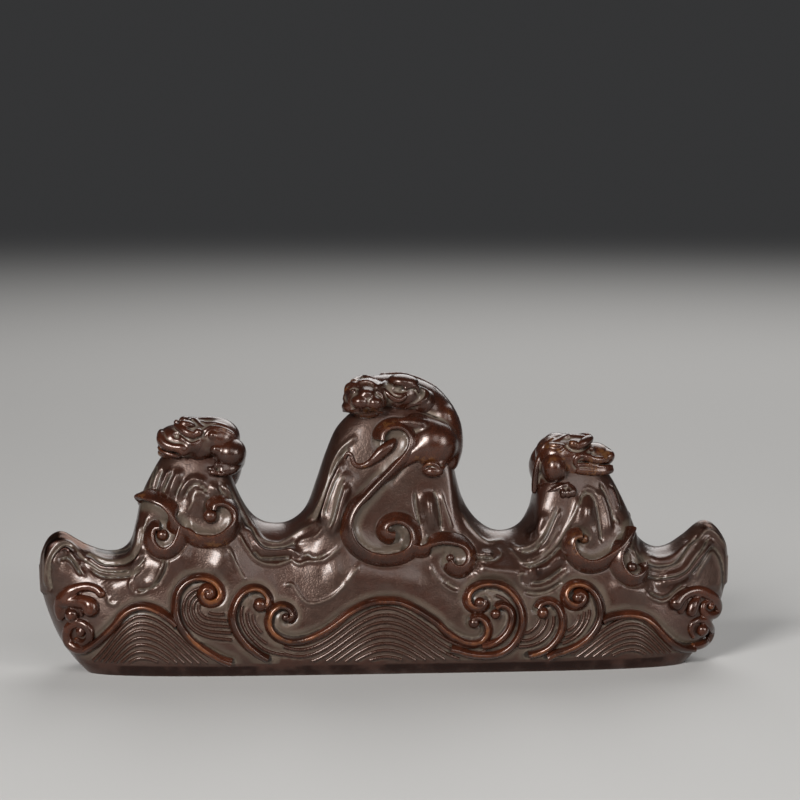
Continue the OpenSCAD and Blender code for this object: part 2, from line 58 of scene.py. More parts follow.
# %% The core: outline, thickness and the way the ends draw in
THICKNESS = 30.6     # of the foot at its thickest
CROWN_POWER = 6      # how square an upright slice is at its top
DRAWN_HALF = 83      # half length at which the ends draw in fully
TIP_HALF = 83.15     # half length at which the thickness is nothing
END_DRAW_POWER = 8   # how suddenly the ends draw in
NUDGE = 0.3          # step over which the slope of the face is measured
RIDGE_POINTS = [
    (-83, 25), (-82.5, 28), (-81, 31.2), (-79, 32.8), (-77, 32.8), (-74, 31), (-71, 29.4),
    (-67, 28.2), (-63.5, 28.6), (-61.2, 31), (-59.8, 36), (-58.6, 41.5), (-56, 47), (-53, 51.5),
    (-48, 54.5), (-42, 54.5), (-38.5, 50), (-36, 43), (-33, 37.5), (-29.5, 34.8), (-25, 34.4),
    (-21.5, 36), (-19, 39), (-16.8, 45), (-14.4, 52), (-11.5, 58), (-6, 62.5), (2, 64),
    (9, 62.5), (14, 57), (16, 48), (18, 40.5), (21, 35.5), (25, 32.4), (29, 32),
    (32.6, 34), (34.9, 38.5), (36.4, 45), (40, 50.5), (45, 52), (50, 50), (54, 45),
    (57.2, 39), (59.4, 34), (61, 30), (64.5, 27.6), (68, 27.8), (72, 30.4),
    (75, 33), (77.5, 33.8), (80, 32.2), (82.3, 28.6), (83, 25)]
SIDE_POINTS = [(0, 0.86), (1.6, 0.93), (4.5, 0.985), (9, 1), (15, 0.955), (22, 0.86),
               (30, 0.75), (38, 0.66), (46, 0.6), (56, 0.56), (72, 0.53)]
TUCK_POINTS = [(0, 11), (3, 7.8), (7, 4.9), (12, 2.6), (18, 0.8), (24, 0), (72, 0)]


def curve(points, steps):
    """A smooth line through given points, with this many steps between two of them."""
    p = np.asarray(points, float)
    last = len(p) - 1
    line = []
    for i in range(last):
        a, b, c, d = p[max(i - 1, 0)], p[i], p[i + 1], p[min(i + 2, last)]
        for t in np.arange(steps) / steps:
            line.append(b + t * ((c - a) / 2 + t * (a - 2.5 * b + 2 * c - d / 2
                                                    + t * (1.5 * (b - c) + (d - a) / 2))))
    return np.array(line + [p[last]])


def unit(v):
    """Vectors of length one."""
    return v / np.maximum(np.linalg.norm(v, axis=-1, keepdims=True), 1e-9)


ridge_line = curve(RIDGE_POINTS, 8)
side_line = curve(SIDE_POINTS, 6)
tuck_line = curve(TUCK_POINTS, 6)


def ridge(x):
    """Height of the outline at x."""
    return np.interp(x, ridge_line[:, 0], ridge_line[:, 1])


def tuck(x, z):
    """How far the end of the rest draws in at a height."""
    share = np.minimum(np.abs(x), DRAWN_HALF) / DRAWN_HALF
    return np.sign(x) * np.interp(z, tuck_line[:, 0], tuck_line[:, 1]) * share ** END_DRAW_POWER


def half_depth(s, z):
    """Half thickness at station s, before the ends draw in."""
    plan = np.sqrt(np.clip(1 - (np.abs(s) / TIP_HALF) ** 4, 0, 1))
    crown = np.sqrt(np.clip(1 - np.clip(z / ridge(s), 0, 1) ** CROWN_POWER, 0, 1))
    return THICKNESS / 2 * np.interp(z, side_line[:, 0], side_line[:, 1]) * plan * crown


def face(x, z):
    """Half thickness of the bare mountain at x, z."""
    first = x + tuck(x, z)
    return half_depth(x + tuck(first, z), z)


def outward(x, z):
    """Unit vector out of the front face."""
    gx = (face(x - NUDGE, z) - face(x + NUDGE, z)) / (2 * NUDGE)
    gz = (face(x, z - NUDGE) - face(x, z + NUDGE)) / (2 * NUDGE)
    return unit(np.stack([gx, -np.ones_like(gx), gz], -1))


def on_face(path, up=0.0):
    """Points of the front face under a path of x, z, raised by up."""
    x, z = path[:, 0], path[:, 1]
    return np.stack([x, -face(x, z), z], -1) + np.asarray(up).reshape(-1, 1) * outward(x, z)


print("thickness at the waves:", round(2 * float(face(0.0, 9.0)), 1), "mm")

# %% [markdown]
# ## The camera
# The photograph looks a little down on the rest and a little from its left. The camera comes
# first, because some folds of rock are given as the eye sees them, across and up in
# millimetres, and have to be carried back along the line of sight on to the face.

# %% Place the camera
CAMERA_LEFT = math.radians(3.8)      # how far the eye stands to the left of straight ahead
CAMERA_ABOVE = math.radians(10)      # how far it looks down on the rest
CAMERA_AWAY = 650.0                  # mm from the middle of the rest
FRAME_PIXELS = 800
MM_PER_PIXEL = 0.2409                # at the middle of the rest
MIDDLE = np.array([0.0, 0.0, 30.0])  # the middle of the rest
MIDDLE_PIXEL = (386.5, 539.5)        # where the photograph has that point
FOOT_PIXEL = 668                     # the height in the photograph from which folds count up
SENSOR = 36                          # mm
NEAREST = 0.05                       # m, nothing closer is drawn
SIGHT_ROUNDS, SIGHT_PULL = 12, 0.8   # short moves that bring a point on to its line of sight

focal = CAMERA_AWAY / MM_PER_PIXEL
turn_right = math.atan((FRAME_PIXELS / 2 - MIDDLE_PIXEL[0]) / focal)
turn_up = math.atan((MIDDLE_PIXEL[1] - FRAME_PIXELS / 2) / focal)
eye = MIDDLE + CAMERA_AWAY * np.array([-math.sin(CAMERA_LEFT) * math.cos(CAMERA_ABOVE),
                                       -math.cos(CAMERA_LEFT) * math.cos(CAMERA_ABOVE),
                                       math.sin(CAMERA_ABOVE)])
heading, pitch = CAMERA_LEFT + turn_right, CAMERA_ABOVE - turn_up
ahead = np.array([math.sin(heading) * math.cos(pitch), math.cos(heading) * math.cos(pitch),
                  -math.sin(pitch)])
rightward = np.array([math.cos(heading), -math.sin(heading), 0.0])
upward = np.cross(rightward, ahead)

camera_data = bpy.data.cameras.new("camera")
camera_data.sensor_width = camera_data.sensor_height = SENSOR
camera_data.lens = SENSOR * focal / FRAME_PIXELS
camera_data.clip_start = NEAREST
camera = bpy.data.objects.new("camera", camera_data)
bpy.context.scene.collection.objects.link(camera)
camera.matrix_world = Matrix.Translation(Vector(eye * MM)) @ Matrix(
    [list(rightward), list(upward), list(-ahead)]).transposed().to_4x4()
bpy.context.scene.camera = camera


def seen_at(points):
    """Where the eye sees 3-D points: mm across from the middle and mm up from the foot."""
    ray = points - eye
    away = ray @ ahead
    px = FRAME_PIXELS / 2 + focal * (ray @ rightward) / away
    py = FRAME_PIXELS / 2 - focal * (ray @ upward) / away
    return np.stack([(px - MIDDLE_PIXEL[0]) * MM_PER_PIXEL, (FOOT_PIXEL - py) * MM_PER_PIXEL], -1)


def carried_back(seen):
    """The x, z path on the front face that the eye sees at these points."""
    seen = np.asarray(seen, float)
    path = seen + [0, 1]
    for _ in range(SIGHT_ROUNDS):
        path = path + SIGHT_PULL * (seen - seen_at(on_face(path)))
        path[:, 1] = np.clip(path[:, 1], 0.2, ridge(path[:, 0]) - 0.15)
    return path


print("the eye stands at", np.round(eye), "mm; lens", round(camera_data.lens, 1), "mm")

# %% [markdown]
# ## Meshes with a memory of height
# Every piece carries a number called lift: 0 at the bottom of a hollow, about a half on a plain
# face and 1 on a crest that hands have rubbed. The patina reads it, and paints the bottoms of
# hollows nearly black, as shade. On most pieces it can be measured: smooth a copy of the mesh,
# and see how far each point stood above the smooth copy.

# %% Helpers that turn arrays into pieces
def new_piece(name, verts, faces, lift=None, material=None):
    """A smooth mesh object from points in mm."""
    mesh = bpy.data.meshes.new(name)
    verts = np.asarray(verts, np.float64) * MM
    mesh.vertices.add(len(verts))
    mesh.vertices.foreach_set("co", verts.ravel())
    faces = np.asarray(faces, np.int32)
    mesh.loops.add(faces.size)
    mesh.loops.foreach_set("vertex_index", faces.ravel())
    mesh.polygons.add(len(faces))
    corners = faces.shape[1]
    mesh.polygons.foreach_set("loop_start", np.arange(0, faces.size, corners, dtype=np.int32))
    mesh.update(calc_edges=True)
    mesh.validate()
    mesh.shade_smooth()
    if lift is not None:
        give_lift(mesh, lift)
    if material is not None:
        mesh.materials.append(material)
    piece = bpy.data.objects.new(name, mesh)
    bpy.context.scene.collection.objects.link(piece)
    return piece


def give_lift(mesh, lift, top=1.0):
    """Stores the lift of every point of a mesh."""
    attribute = mesh.attributes.get("lift") or mesh.attributes.new("lift", "FLOAT", "POINT")
    attribute.data.foreach_set("value", np.clip(lift, 0, top).astype(np.float32))


def values_of(mesh, name):
    """The numbers that a mesh keeps under a name, one a point."""
    values = np.empty(len(mesh.vertices), np.float32)
    mesh.attributes[name].data.foreach_get("value", values)
    return values


def mesh_points(mesh):
    """The points of a mesh in mm."""
    co = np.empty(len(mesh.vertices) * 3)
    mesh.vertices.foreach_get("co", co)
    return co.reshape(-1, 3) / MM


def relief_of(mesh, rounds, reach):
    """How far each point stands over a smoothed copy, from 0 to 1, with reach mm to either end."""
    points = mesh_points(mesh)
    normals = np.empty(len(mesh.vertices) * 3)
    mesh.vertices.foreach_get("normal", normals)
    edges = np.empty(len(mesh.edges) * 2, np.int32)
    mesh.edges.foreach_get("vertices", edges)
    edges = edges.reshape(-1, 2)
    count = np.maximum(np.bincount(edges.ravel(), minlength=len(points)), 1)[:, None]
    smooth = points.copy()
    for _ in range(rounds):
        total = np.zeros_like(smooth)
        for k in range(3):
            total[:, k] = (np.bincount(edges[:, 0], smooth[edges[:, 1], k], len(points))
                           + np.bincount(edges[:, 1], smooth[edges[:, 0], k], len(points)))
        smooth = total / count
    height = ((points - smooth) * normals.reshape(-1, 3)).sum(1)
    return 0.5 + 0.5 * height / reach


def finished(piece, slot, *nodes):
    """Puts a piece on the one body, and hides the nodes that it stands for."""
    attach(piece, "root")
    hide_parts(*nodes)
    return piece


print("lamps and cameras so far:", len(bpy.data.lights) + len(bpy.data.cameras))

# %% [markdown]
# ## Patina
# The bronze has one skin with several tones: a nearly black tone in the deepest cuts and at
# the feet of forms, which is painted shade with some dirt in it, a matt grey-brown dust beside
# them, a deep red-brown lacquer on what stands out, an orange-brown rub on the crests, down to
# bare metal, and a few spots of gold. One shader group mixes them from the lift, a slow cloud of
# noise and a fine grain, and each slot gives it its own colours.
# Painting the mix by lift keeps the wear where hands would put it, from every side.

# %% Short ways to place nodes
def node(tree, kind, values=(), **settings):
    """A new node. An input takes a value, or a link where it is given another node's output."""
    made = tree.nodes.new(kind)
    for key, value in settings.items():
        setattr(made, key, value)
    for key, value in dict(values).items():
        if hasattr(value, "is_output"):
            tree.links.new(value, made.inputs[key])
        else:
            made.inputs[key].default_value = value
    return made


def math_node(tree, operation, a, b):
    """A sum, a product or the like of two values."""
    return node(tree, "ShaderNodeMath", {0: a, 1: b}, operation=operation).outputs[0]


def ramp(tree, value, low, high):
    """0 below low, 1 above high, smooth between."""
    return node(tree, "ShaderNodeMapRange", {"Value": value, "From Min": low, "From Max": high},
                interpolation_type="SMOOTHSTEP").outputs["Result"]


def between(tree, value, low, high):
    """Stretches a value that runs from 0 to 1, so that it runs from low to high."""
    return node(tree, "ShaderNodeMapRange", {"Value": value, "To Min": low,
                                             "To Max": high}).outputs["Result"]


def mix_colour(tree, factor, a, b):
    """Colour a where the factor is 0, and b where it is 1."""
    return node(tree, "ShaderNodeMix", {0: factor, 6: a, 7: b}, data_type="RGBA").outputs[2]


def socket_value(value):
    """A colour with its fourth number, or a plain number as it is."""
    return (*value, 1) if isinstance(value, tuple) else value


print("a colour as its socket wants it:", socket_value((0.1, 0.08, 0.06)))

# %% One patina group, placed in every bronze
PATINA_INPUTS = {
    "Lift": 0.5, "Dust": (0.1, 0.085, 0.075), "Lacquer": (0.04, 0.02, 0.014),
    "Deep": (0.03, 0.01, 0.006), "Rub": (0.2, 0.07, 0.02), "Gold": (0.42, 0.2, 0.055),
    "Dust edge": 0.3, "Rub edge": 0.85, "Gold spots": 0.0, "Gloss": 0.3, "Shade and grime edge": 0.02,
    "Bare metal": 0.35}
PATINA_OUTPUTS = {"Colour": "NodeSocketColor", "Roughness": "NodeSocketFloat",
                  "Height": "NodeSocketFloat", "Metal": "NodeSocketFloat"}
NOISES = {"cloud": (110, 3, 0.6), "mottle": (900, 4, 0.65), "grain": (2600, 2, 0.5)}
# Nearly black: painted shade in the deepest hollows, with some dirt in it
SHADE_AND_GRIME = (0.011, 0.0065, 0.0045, 1)
SHADE = (0.006, 0.003, 0.002, 1)
WANDER = {"cloud": 0.14, "mottle": 0.13}   # how far the noises move the line between two tones
DUST_SOFT = (0.17, 0.17)                   # how wide a line between two tones is, on either side
RUB_SOFT = (0.12, 0.2)
SHADE_AND_GRIME_SOFT = 0.12
DULLER = 0.26                              # how much rougher the dust is than the lacquer


def make_patina():
    """Shader group: lift and tones in, the colour, roughness, bump height and metal out."""
    tree = bpy.data.node_groups.new("patina", "ShaderNodeTree")
    for name, value in PATINA_INPUTS.items():
        kind = "NodeSocketColor" if isinstance(value, tuple) else "NodeSocketFloat"
        socket = tree.interface.new_socket(name=name, in_out="INPUT", socket_type=kind)
        socket.default_value = socket_value(value)
    for name, kind in PATINA_OUTPUTS.items():
        tree.interface.new_socket(name=name, in_out="OUTPUT", socket_type=kind)
    given = tree.nodes.new("NodeGroupInput").outputs
    place = tree.nodes.new("ShaderNodeTexCoord").outputs["Object"]

    def calculated(operation, a, b):
        return math_node(tree, operation, a, b)

    cloud, mottle, grain = (
        node(tree, "ShaderNodeTexNoise", {"Vector": place, "Scale": scale, "Detail": detail,
                                          "Roughness": roughness}).outputs["Fac"]
        for scale, detail, roughness in NOISES.values())
    # The line between two tones of the patina wanders with the noise
    lift = calculated("ADD", given["Lift"], between(tree, cloud, -WANDER["cloud"], WANDER["cloud"]))
    lift = calculated("ADD", lift, between(tree, mottle, -WANDER["mottle"], WANDER["mottle"]))
    clean = ramp(tree, lift, calculated("SUBTRACT", given["Dust edge"], DUST_SOFT[0]),
                 calculated("ADD", given["Dust edge"], DUST_SOFT[1]))
    rub = ramp(tree, lift, calculated("SUBTRACT", given["Rub edge"], RUB_SOFT[0]),
               calculated("ADD", given["Rub edge"], RUB_SOFT[1]))
    rub = calculated("MULTIPLY", rub, ramp(tree, cloud, 0.3, 0.52))
    gold = calculated("MULTIPLY", ramp(tree, cloud, 0.58, 0.68), given["Gold spots"])
    gold = calculated("MULTIPLY", gold, ramp(tree, mottle, 0.45, 0.58))
    # The lowest lift turns nearly black: painted shade in cuts, creases and at the feet of forms
    shade_and_grime = ramp(tree, lift, given["Shade and grime edge"], calculated("ADD", given["Shade and grime edge"], SHADE_AND_GRIME_SOFT))
    tone = mix_colour(tree, ramp(tree, cloud, 0.35, 0.62), given["Deep"], given["Lacquer"])
    tone = mix_colour(tree, clean, mix_colour(tree, shade_and_grime, SHADE_AND_GRIME, given["Dust"]), tone)
    tone = mix_colour(tree, rub, tone, given["Rub"])
    tone = mix_colour(tree, gold, tone, given["Gold"])
    dark = mix_colour(tree, 0.4, tone, SHADE)
    rough = between(tree, clean, calculated("ADD", given["Gloss"], DULLER), given["Gloss"])
    node(tree, "NodeGroupOutput", {
        "Colour": mix_colour(tree, ramp(tree, mottle, 0.25, 0.75), dark, tone),
        "Roughness": calculated("ADD", rough, between(tree, mottle, -0.07, 0.07)),
        "Height": calculated("ADD", between(tree, mottle, 0, 0.5), between(tree, grain, 0, 0.5)),
        "Metal": calculated("MAXIMUM", calculated("MULTIPLY", rub, given["Bare metal"]), gold)})
    return tree


patina = make_patina()
print("patina inputs:", list(PATINA_INPUTS))

# %% Four bronzes: rock, waves, water lines and dragons
WARM_GLOSS = (1.0, 0.7, 0.57, 1)
BUMP_DEPTH = 0.0003
WORN_RED = {"Dust": (0.15, 0.12, 0.092), "Lacquer": (0.055, 0.0125, 0.0045),
            "Deep": (0.021, 0.005, 0.002), "Rub": (0.2, 0.066, 0.02)}


def bronze(name, tones, bump, specular, coat, satin):
    """One finish: the patina group with its own tones and edges, and a thin gloss over it."""
    material = bpy.data.materials.new(name)
    material.use_nodes = True
    tree = material.node_tree
    shader = tree.nodes["Principled BSDF"]
    lift = node(tree, "ShaderNodeAttribute", attribute_name="lift").outputs["Fac"]
    inputs = {key: socket_value(value) for key, value in tones.items()}
    skin = node(tree, "ShaderNodeGroup", node_tree=patina)
    tree.links.new(lift, skin.inputs["Lift"])
    for key, value in inputs.items():
        skin.inputs[key].default_value = value
    relief = node(tree, "ShaderNodeBump", {"Height": skin.outputs["Height"], "Strength": bump,
                                           "Distance": BUMP_DEPTH})
    for target, source in (("Base Color", skin.outputs["Colour"]),
                           ("Roughness", skin.outputs["Roughness"]),
                           ("Metallic", skin.outputs["Metal"]), ("Normal", relief.outputs["Normal"])):
        tree.links.new(source, shader.inputs[target])
    shader.inputs["Specular IOR Level"].default_value = specular
    shader.inputs["Specular Tint"].default_value = WARM_GLOSS
    shader.inputs["Coat Weight"].default_value = coat
    shader.inputs["Coat Roughness"].default_value = satin
    return material


# The rock's rub is dark bare metal; on the foot band it also stands for painted shade
rock_bronze = bronze(
    "rock_bronze", {"Dust": (0.1, 0.08, 0.058), "Lacquer": (0.034, 0.0165, 0.0115),
                    "Deep": (0.03, 0.0085, 0.0045), "Rub": (0.03, 0.008, 0.004),
                    "Dust edge": 0.27, "Rub edge": 0.84, "Gloss": 0.32, "Bare metal": 1.0},
    bump=0.5, specular=0.5, coat=0.5, satin=0.23)
wave_bronze = bronze(
    "wave_bronze", WORN_RED | {"Dust edge": 0.02, "Rub edge": 1.04, "Gloss": 0.25},
    bump=0.2, specular=0.45, coat=0.5, satin=0.17)
line_bronze = bronze(
    "line_bronze", {"Dust": (0.22, 0.18, 0.145), "Lacquer": (0.038, 0.015, 0.009),
                    "Deep": (0.03, 0.009, 0.005), "Rub": (0.1, 0.034, 0.012),
                    "Dust edge": 0.17, "Rub edge": 1.3, "Gloss": 0.28, "Shade and grime edge": -0.3},
    bump=0.25, specular=0.45, coat=0.35, satin=0.2)
dragon_bronze = bronze(
    "dragon_bronze", WORN_RED | {"Lacquer": (0.046, 0.011, 0.0042), "Rub": (0.16, 0.052, 0.017),
                                 "Dust edge": 0.35, "Rub edge": 1.08, "Gold spots": 0.16,
                                 "Gloss": 0.27},
    bump=0.2, specular=0.45, coat=0.6, satin=0.22)
print("bronzes:", [m.name for m in bpy.data.materials if m.name.endswith("bronze")])

# %% [markdown]
# ## Folds of rock
# The rock is cut like wet cloth that hangs from the peaks and sags across the valleys. Four
# marks make it: broad soft swells, rounded ridges, thin lips where one layer ends over the next,
# with pale dust along them, and narrow cuts, whose middles are painted dark as shade. Moving the
# points of one dense mesh gives them their soft joins, which separate pieces of mesh would not.

# %% Ridges as the eye sees them: height, half width, points across and up
RIDGES = [
    (0.8, 1.3, [(-82.2, 19), (-82, 25), (-80.8, 29.5), (-78.5, 31.6), (-76.3, 31.6), (-73.5, 29.8),
                (-71.3, 28)]),
    (0.8, 0.9, [(-79.9, 23.5), (-79.4, 26.2), (-78.2, 28.2), (-77.2, 28.6), (-76.2, 28), (-75, 26.4),
                (-73.5, 24)]),
    (0.6, 0.7, [(-72.3, 27.2), (-70, 24.9), (-67.5, 24), (-64.5, 23.9), (-62, 24.3), (-60, 25.8),
                (-58.6, 28.5)]),
    (0.5, 0.9, [(-72, 29.3), (-69.5, 27.6), (-66, 26.9), (-63, 27.1), (-61, 28.6), (-59.8, 31.5),
                (-59, 35)]),
    (0.5, 1.2, [(-53.5, 25.5), (-55, 22.3), (-57.5, 20), (-59.5, 19.6)]),
    (0.7, 0.6, [(-51.8, 48.4), (-53.2, 45.2), (-54.5, 42)]),
    (0.9, 0.85, [(-49.2, 48), (-50.6, 45.8), (-51.7, 43), (-52, 41)]),
    (0.8, 0.7, [(-50.1, 40.5), (-49.4, 42.5), (-48, 44.5), (-46.6, 45.4), (-45, 45.2), (-43.5, 44.2)]),
    (0.6, 0.9, [(-42.3, 45), (-41.3, 43), (-40.2, 41.2)]),
    (0.8, 0.55, [(-39.7, 44.4), (-38.4, 42.3), (-37.2, 39.8), (-36, 37), (-35.2, 34.8)]),
    (0.9, 0.9, [(-33.7, 34.6), (-31.9, 31.2), (-30.2, 28.7), (-28.2, 27.9), (-25, 28), (-22.9, 28.2),
                (-21.4, 27), (-21.2, 26.2)]),
    (0.9, 1.0, [(-15.9, 34.2), (-14.9, 37.5), (-13.9, 40.6), (-12.9, 43.6), (-11.9, 46.2), (-10.4, 50.4)]),
    (1.0, 1.0, [(-14, 31.4), (-12.8, 33.2), (-11.6, 36), (-10.9, 39), (-9.9, 42.2), (-8.8, 44.5)]),
    (1.0, 1.5, [(9.9, 42.5), (10.2, 38.5), (10.7, 35.5), (11.3, 32.5)]),
    (0.8, 0.9, [(21.6, 27.2), (23.8, 27.1), (26.2, 26.8)]),
    (0.6, 1.8, [(20.5, 24), (25, 23), (29.5, 22.4), (33, 21.5)]),
    (1.1, 1.4, [(34.8, 22.5), (37, 23.4), (39.6, 25), (41.8, 27), (42.8, 28.2)]),
    (0.5, 1.2, [(33, 31.5), (35.5, 32.6), (37.3, 35), (38.5, 38)]),
    (0.6, 0.7, [(36.2, 28.6), (38.3, 30.6), (39.6, 33.2), (40.8, 36), (42, 38.6)]),
    (0.9, 1.5, [(48.4, 40.4), (48.2, 37), (47.8, 34)]),
    (0.7, 1.0, [(51, 43.2), (52.3, 39.8), (53.2, 36), (53.6, 32)]),
    (0.6, 0.6, [(53.6, 44.6), (55, 41), (56.1, 37.5)]),
    (0.8, 1.2, [(75.2, 33.4), (77.4, 34.2), (79.6, 32.9), (81.6, 30), (82.6, 25), (82.5, 19)]),
    (1.0, 1.0, [(64.5, 20.7), (67, 20.4), (69.4, 20.8), (71.4, 22), (73.2, 24), (74.8, 26.2), (76.3, 28.3),
                (77.8, 29.9), (78.8, 30.4)]),
    (0.5, 0.9, [(62, 27.2), (65, 26.3), (68, 26.6), (70.4, 28), (73, 31)]),
]
print("ridges:", len(RIDGES))

# %% Broad soft swells, given in the same way
SWELLS = [
    (1.0, 3.2, [(-69, 18.5), (-64, 20.5), (-58, 24), (-52, 26.5), (-46, 27.5)]),
    (0.8, 2.4, [(-79, 20), (-78.5, 25), (-77, 28.5)]),
    (0.9, 2.6, [(-46, 36), (-45.5, 42), (-45, 47)]),
    (0.8, 2.4, [(-38, 30), (-40, 25), (-43, 22)]),
    (0.6, 3.0, [(-16, 23), (-9, 22.5), (-2, 22), (5, 20.5), (10, 19)]),
    (1.0, 2.4, [(-14, 32), (-13, 36), (-11.5, 42), (-8, 48)]),
    (0.9, 2.4, [(11, 34), (10.5, 39), (10.5, 43)]),
    (1.1, 2.6, [(20, 25.5), (25, 24), (30, 23.5), (35, 23.8), (39, 26)]),
    (1.0, 2.8, [(48, 43), (47.8, 38), (48, 33), (50, 29)]),
    (0.9, 2.8, [(53, 20.5), (57, 19.5), (61, 18.5), (65, 19)]),
    (1.0, 2.4, [(65, 21), (70, 22.5), (74, 26.5), (77, 30.5)]),
]
print("swells:", len(SWELLS))

# %% Thin lips, given in the same way
LIPS = [
    (0.4, 0.45, [(-81.4, 18.5), (-81.6, 22), (-81, 25.6), (-79.9, 28.4), (-78.4, 29.9), (-77, 30.2),
                 (-75.8, 29.6), (-74, 27.4), (-72, 25.3), (-69.8, 23.6), (-67, 22.7), (-64, 22.4),
                 (-61.5, 22.8), (-59.6, 23.9), (-58, 25.8)]),
    (0.45, 0.4, [(-77.4, 26.9), (-76.4, 27.2), (-75.5, 26.3), (-74.2, 24.4), (-73, 22.6), (-72.2, 21.8)]),
    (0.3, 0.6, [(-71.8, 28.3), (-69.4, 26.5), (-66.6, 25.7), (-63.6, 25.6), (-61.4, 26.5), (-60, 28.5),
                (-58.9, 32), (-58.3, 35)]),
    (0.45, 0.35, [(-53.5, 27), (-54, 24.2), (-55.6, 21), (-57.6, 18.7), (-59.6, 17.9), (-61.2, 18.8),
                  (-61.5, 20.3), (-60.6, 21.2)]),
    (0.3, 0.5, [(-66.8, 17.8), (-66.9, 16), (-65.6, 15.2), (-64.4, 16.2)]),
    (0.35, 0.35, [(-54.4, 48.8), (-55.5, 46), (-56.8, 42.4)]),
    (0.35, 0.4, [(-47.6, 39.6), (-46.6, 41.3), (-45.4, 42.4), (-44.2, 42.1), (-43, 41), (-42, 40.2)]),
    (0.4, 0.35, [(-45.7, 41.3), (-46.8, 39.5), (-48.2, 37.2)]),
    (0.3, 0.4, [(-57.5, 37), (-58, 34), (-58.7, 31), (-60, 28.6)]),
    (0.45, 0.45, [(-37, 44.4), (-35.5, 41), (-34, 38), (-32.6, 35.2), (-31.4, 32.9), (-30, 31),
                  (-28.3, 30.2), (-26.3, 29.9), (-24.5, 30.4), (-22.5, 31.7), (-20.5, 33), (-18.5, 34),
                  (-16.8, 35.2)]),
    (0.5, 0.4, [(-35.9, 32.8), (-34.8, 30.7), (-33.4, 28.5), (-32, 26.6), (-30.6, 25.6), (-29, 25),
                (-26.5, 24.8), (-24.5, 25.4), (-22.9, 26), (-21.7, 25.2), (-20.5, 25), (-19.2, 25.6),
                (-17, 25.7), (-15, 26), (-13.5, 27), (-12, 28.3), (-10.7, 29.6)]),
    (0.4, 0.4, [(-38.3, 29.6), (-37.2, 27), (-36, 24.5), (-34.8, 22.3), (-33.8, 20.6)]),
    (0.45, 0.4, [(-24.7, 19.4), (-23.9, 20.1), (-22.8, 20.1), (-22.1, 19.3), (-21.4, 18), (-20.4, 16.7),
                 (-19, 15.6), (-17.3, 15.5), (-15.3, 16), (-13.2, 17), (-11, 18.9), (-9.4, 20.8),
                 (-8, 22.8), (-6.8, 24.3), (-5.8, 24.8)]),
    (0.4, 0.4, [(-21.6, 29.9), (-20.5, 30.7), (-18.5, 31.2), (-16.8, 31.8), (-15.7, 33), (-14.9, 34.5)]),
    (0.5, 0.5, [(-19.9, 36.6), (-19.2, 35.9), (-18.2, 36.3), (-17, 37.6), (-16, 39.5), (-15, 42), (-14, 45),
                (-13.2, 48), (-12.2, 50.5), (-10.9, 52.7), (-9, 54.4), (-7, 56)]),
    (0.35, 0.55, [(-15.2, 32.6), (-13.9, 34.4), (-13, 37), (-12.3, 40), (-11.4, 43), (-10.4, 45.8),
                  (-9.2, 47)]),
    (0.5, 0.35, [(13.2, 42.4), (13.6, 40), (14.4, 37.5), (15.3, 35), (15.8, 33)]),
    (0.45, 0.4, [(17.9, 37.5), (18.8, 35.7), (19.9, 34), (21.5, 32.3), (23, 31), (24.5, 30.3), (26.3, 30.6),
                 (27.6, 30.9), (28.8, 30.3)]),
    (0.5, 0.35, [(10.3, 24.9), (11.3, 23), (12.5, 21.2), (14, 19.6), (15.6, 18.5), (17.4, 18)]),
    (0.4, 0.4, [(21.2, 26.2), (23.3, 25.4), (25.3, 25.4), (27, 26.2), (27.6, 27.4), (26.9, 28.4),
                (26.2, 28.9)]),
    (0.45, 0.4, [(30.9, 30.5), (30.4, 30), (30.9, 29.2), (32.2, 28.8), (34, 29), (35.6, 29.8), (37, 31.2),
                 (38.3, 33), (39.3, 35), (40.1, 37), (41, 39)]),
    (0.5, 0.3, [(33.2, 25.9), (34.8, 26.2), (36.4, 26.9), (37.8, 28), (38.9, 29.3), (40, 31), (41, 32.7),
                (42, 34)]),
    (0.4, 0.45, [(28.8, 28.7), (30, 28), (31.2, 26.8), (32.4, 25.5), (33.7, 25), (35.5, 25.4), (37.4, 26.6),
                 (39.3, 28.3), (41, 30), (42.6, 32.2), (44, 34.8), (45.2, 37.3), (46.3, 40), (47, 41)]),
    (0.45, 0.45, [(33.8, 21), (33.3, 22.2), (32.5, 22.5), (31.9, 21.6), (32.2, 20.3), (33.4, 19.4),
                  (35.3, 19.1), (37.8, 19.4), (40, 20.3), (42, 21.6), (43.3, 23), (44, 24)]),
    (0.35, 0.35, [(46.8, 42), (48.3, 43.2), (50, 42.6), (51.3, 41)]),
    (0.3, 0.35, [(54.2, 38.5), (55.1, 36), (56.1, 34.2)]),
    (0.5, 0.4, [(58.6, 30), (59.4, 28), (60.8, 26.2), (62.5, 24.6), (64.5, 23.7), (66.5, 23.5),
                (68.5, 24), (70.5, 25), (71.8, 26.8), (73.2, 28.7), (74.8, 30.4), (76.2, 32.3),
                (77.4, 33), (78.6, 32.4), (80, 30.7), (81.4, 28.8), (82.2, 26.7)]),
    (0.3, 0.5, [(74.3, 21), (75.3, 23.5), (76.8, 26), (78.2, 27.8), (79.4, 26.6), (80.3, 24), (80.4, 21),
                (79.8, 18)]),
    (0.4, 0.35, [(62.3, 17.6), (64.3, 16.6), (66.3, 16), (68, 16.6), (69.4, 18), (70.8, 19), (72.5, 19.9)]),
]
print("lips:", len(LIPS))

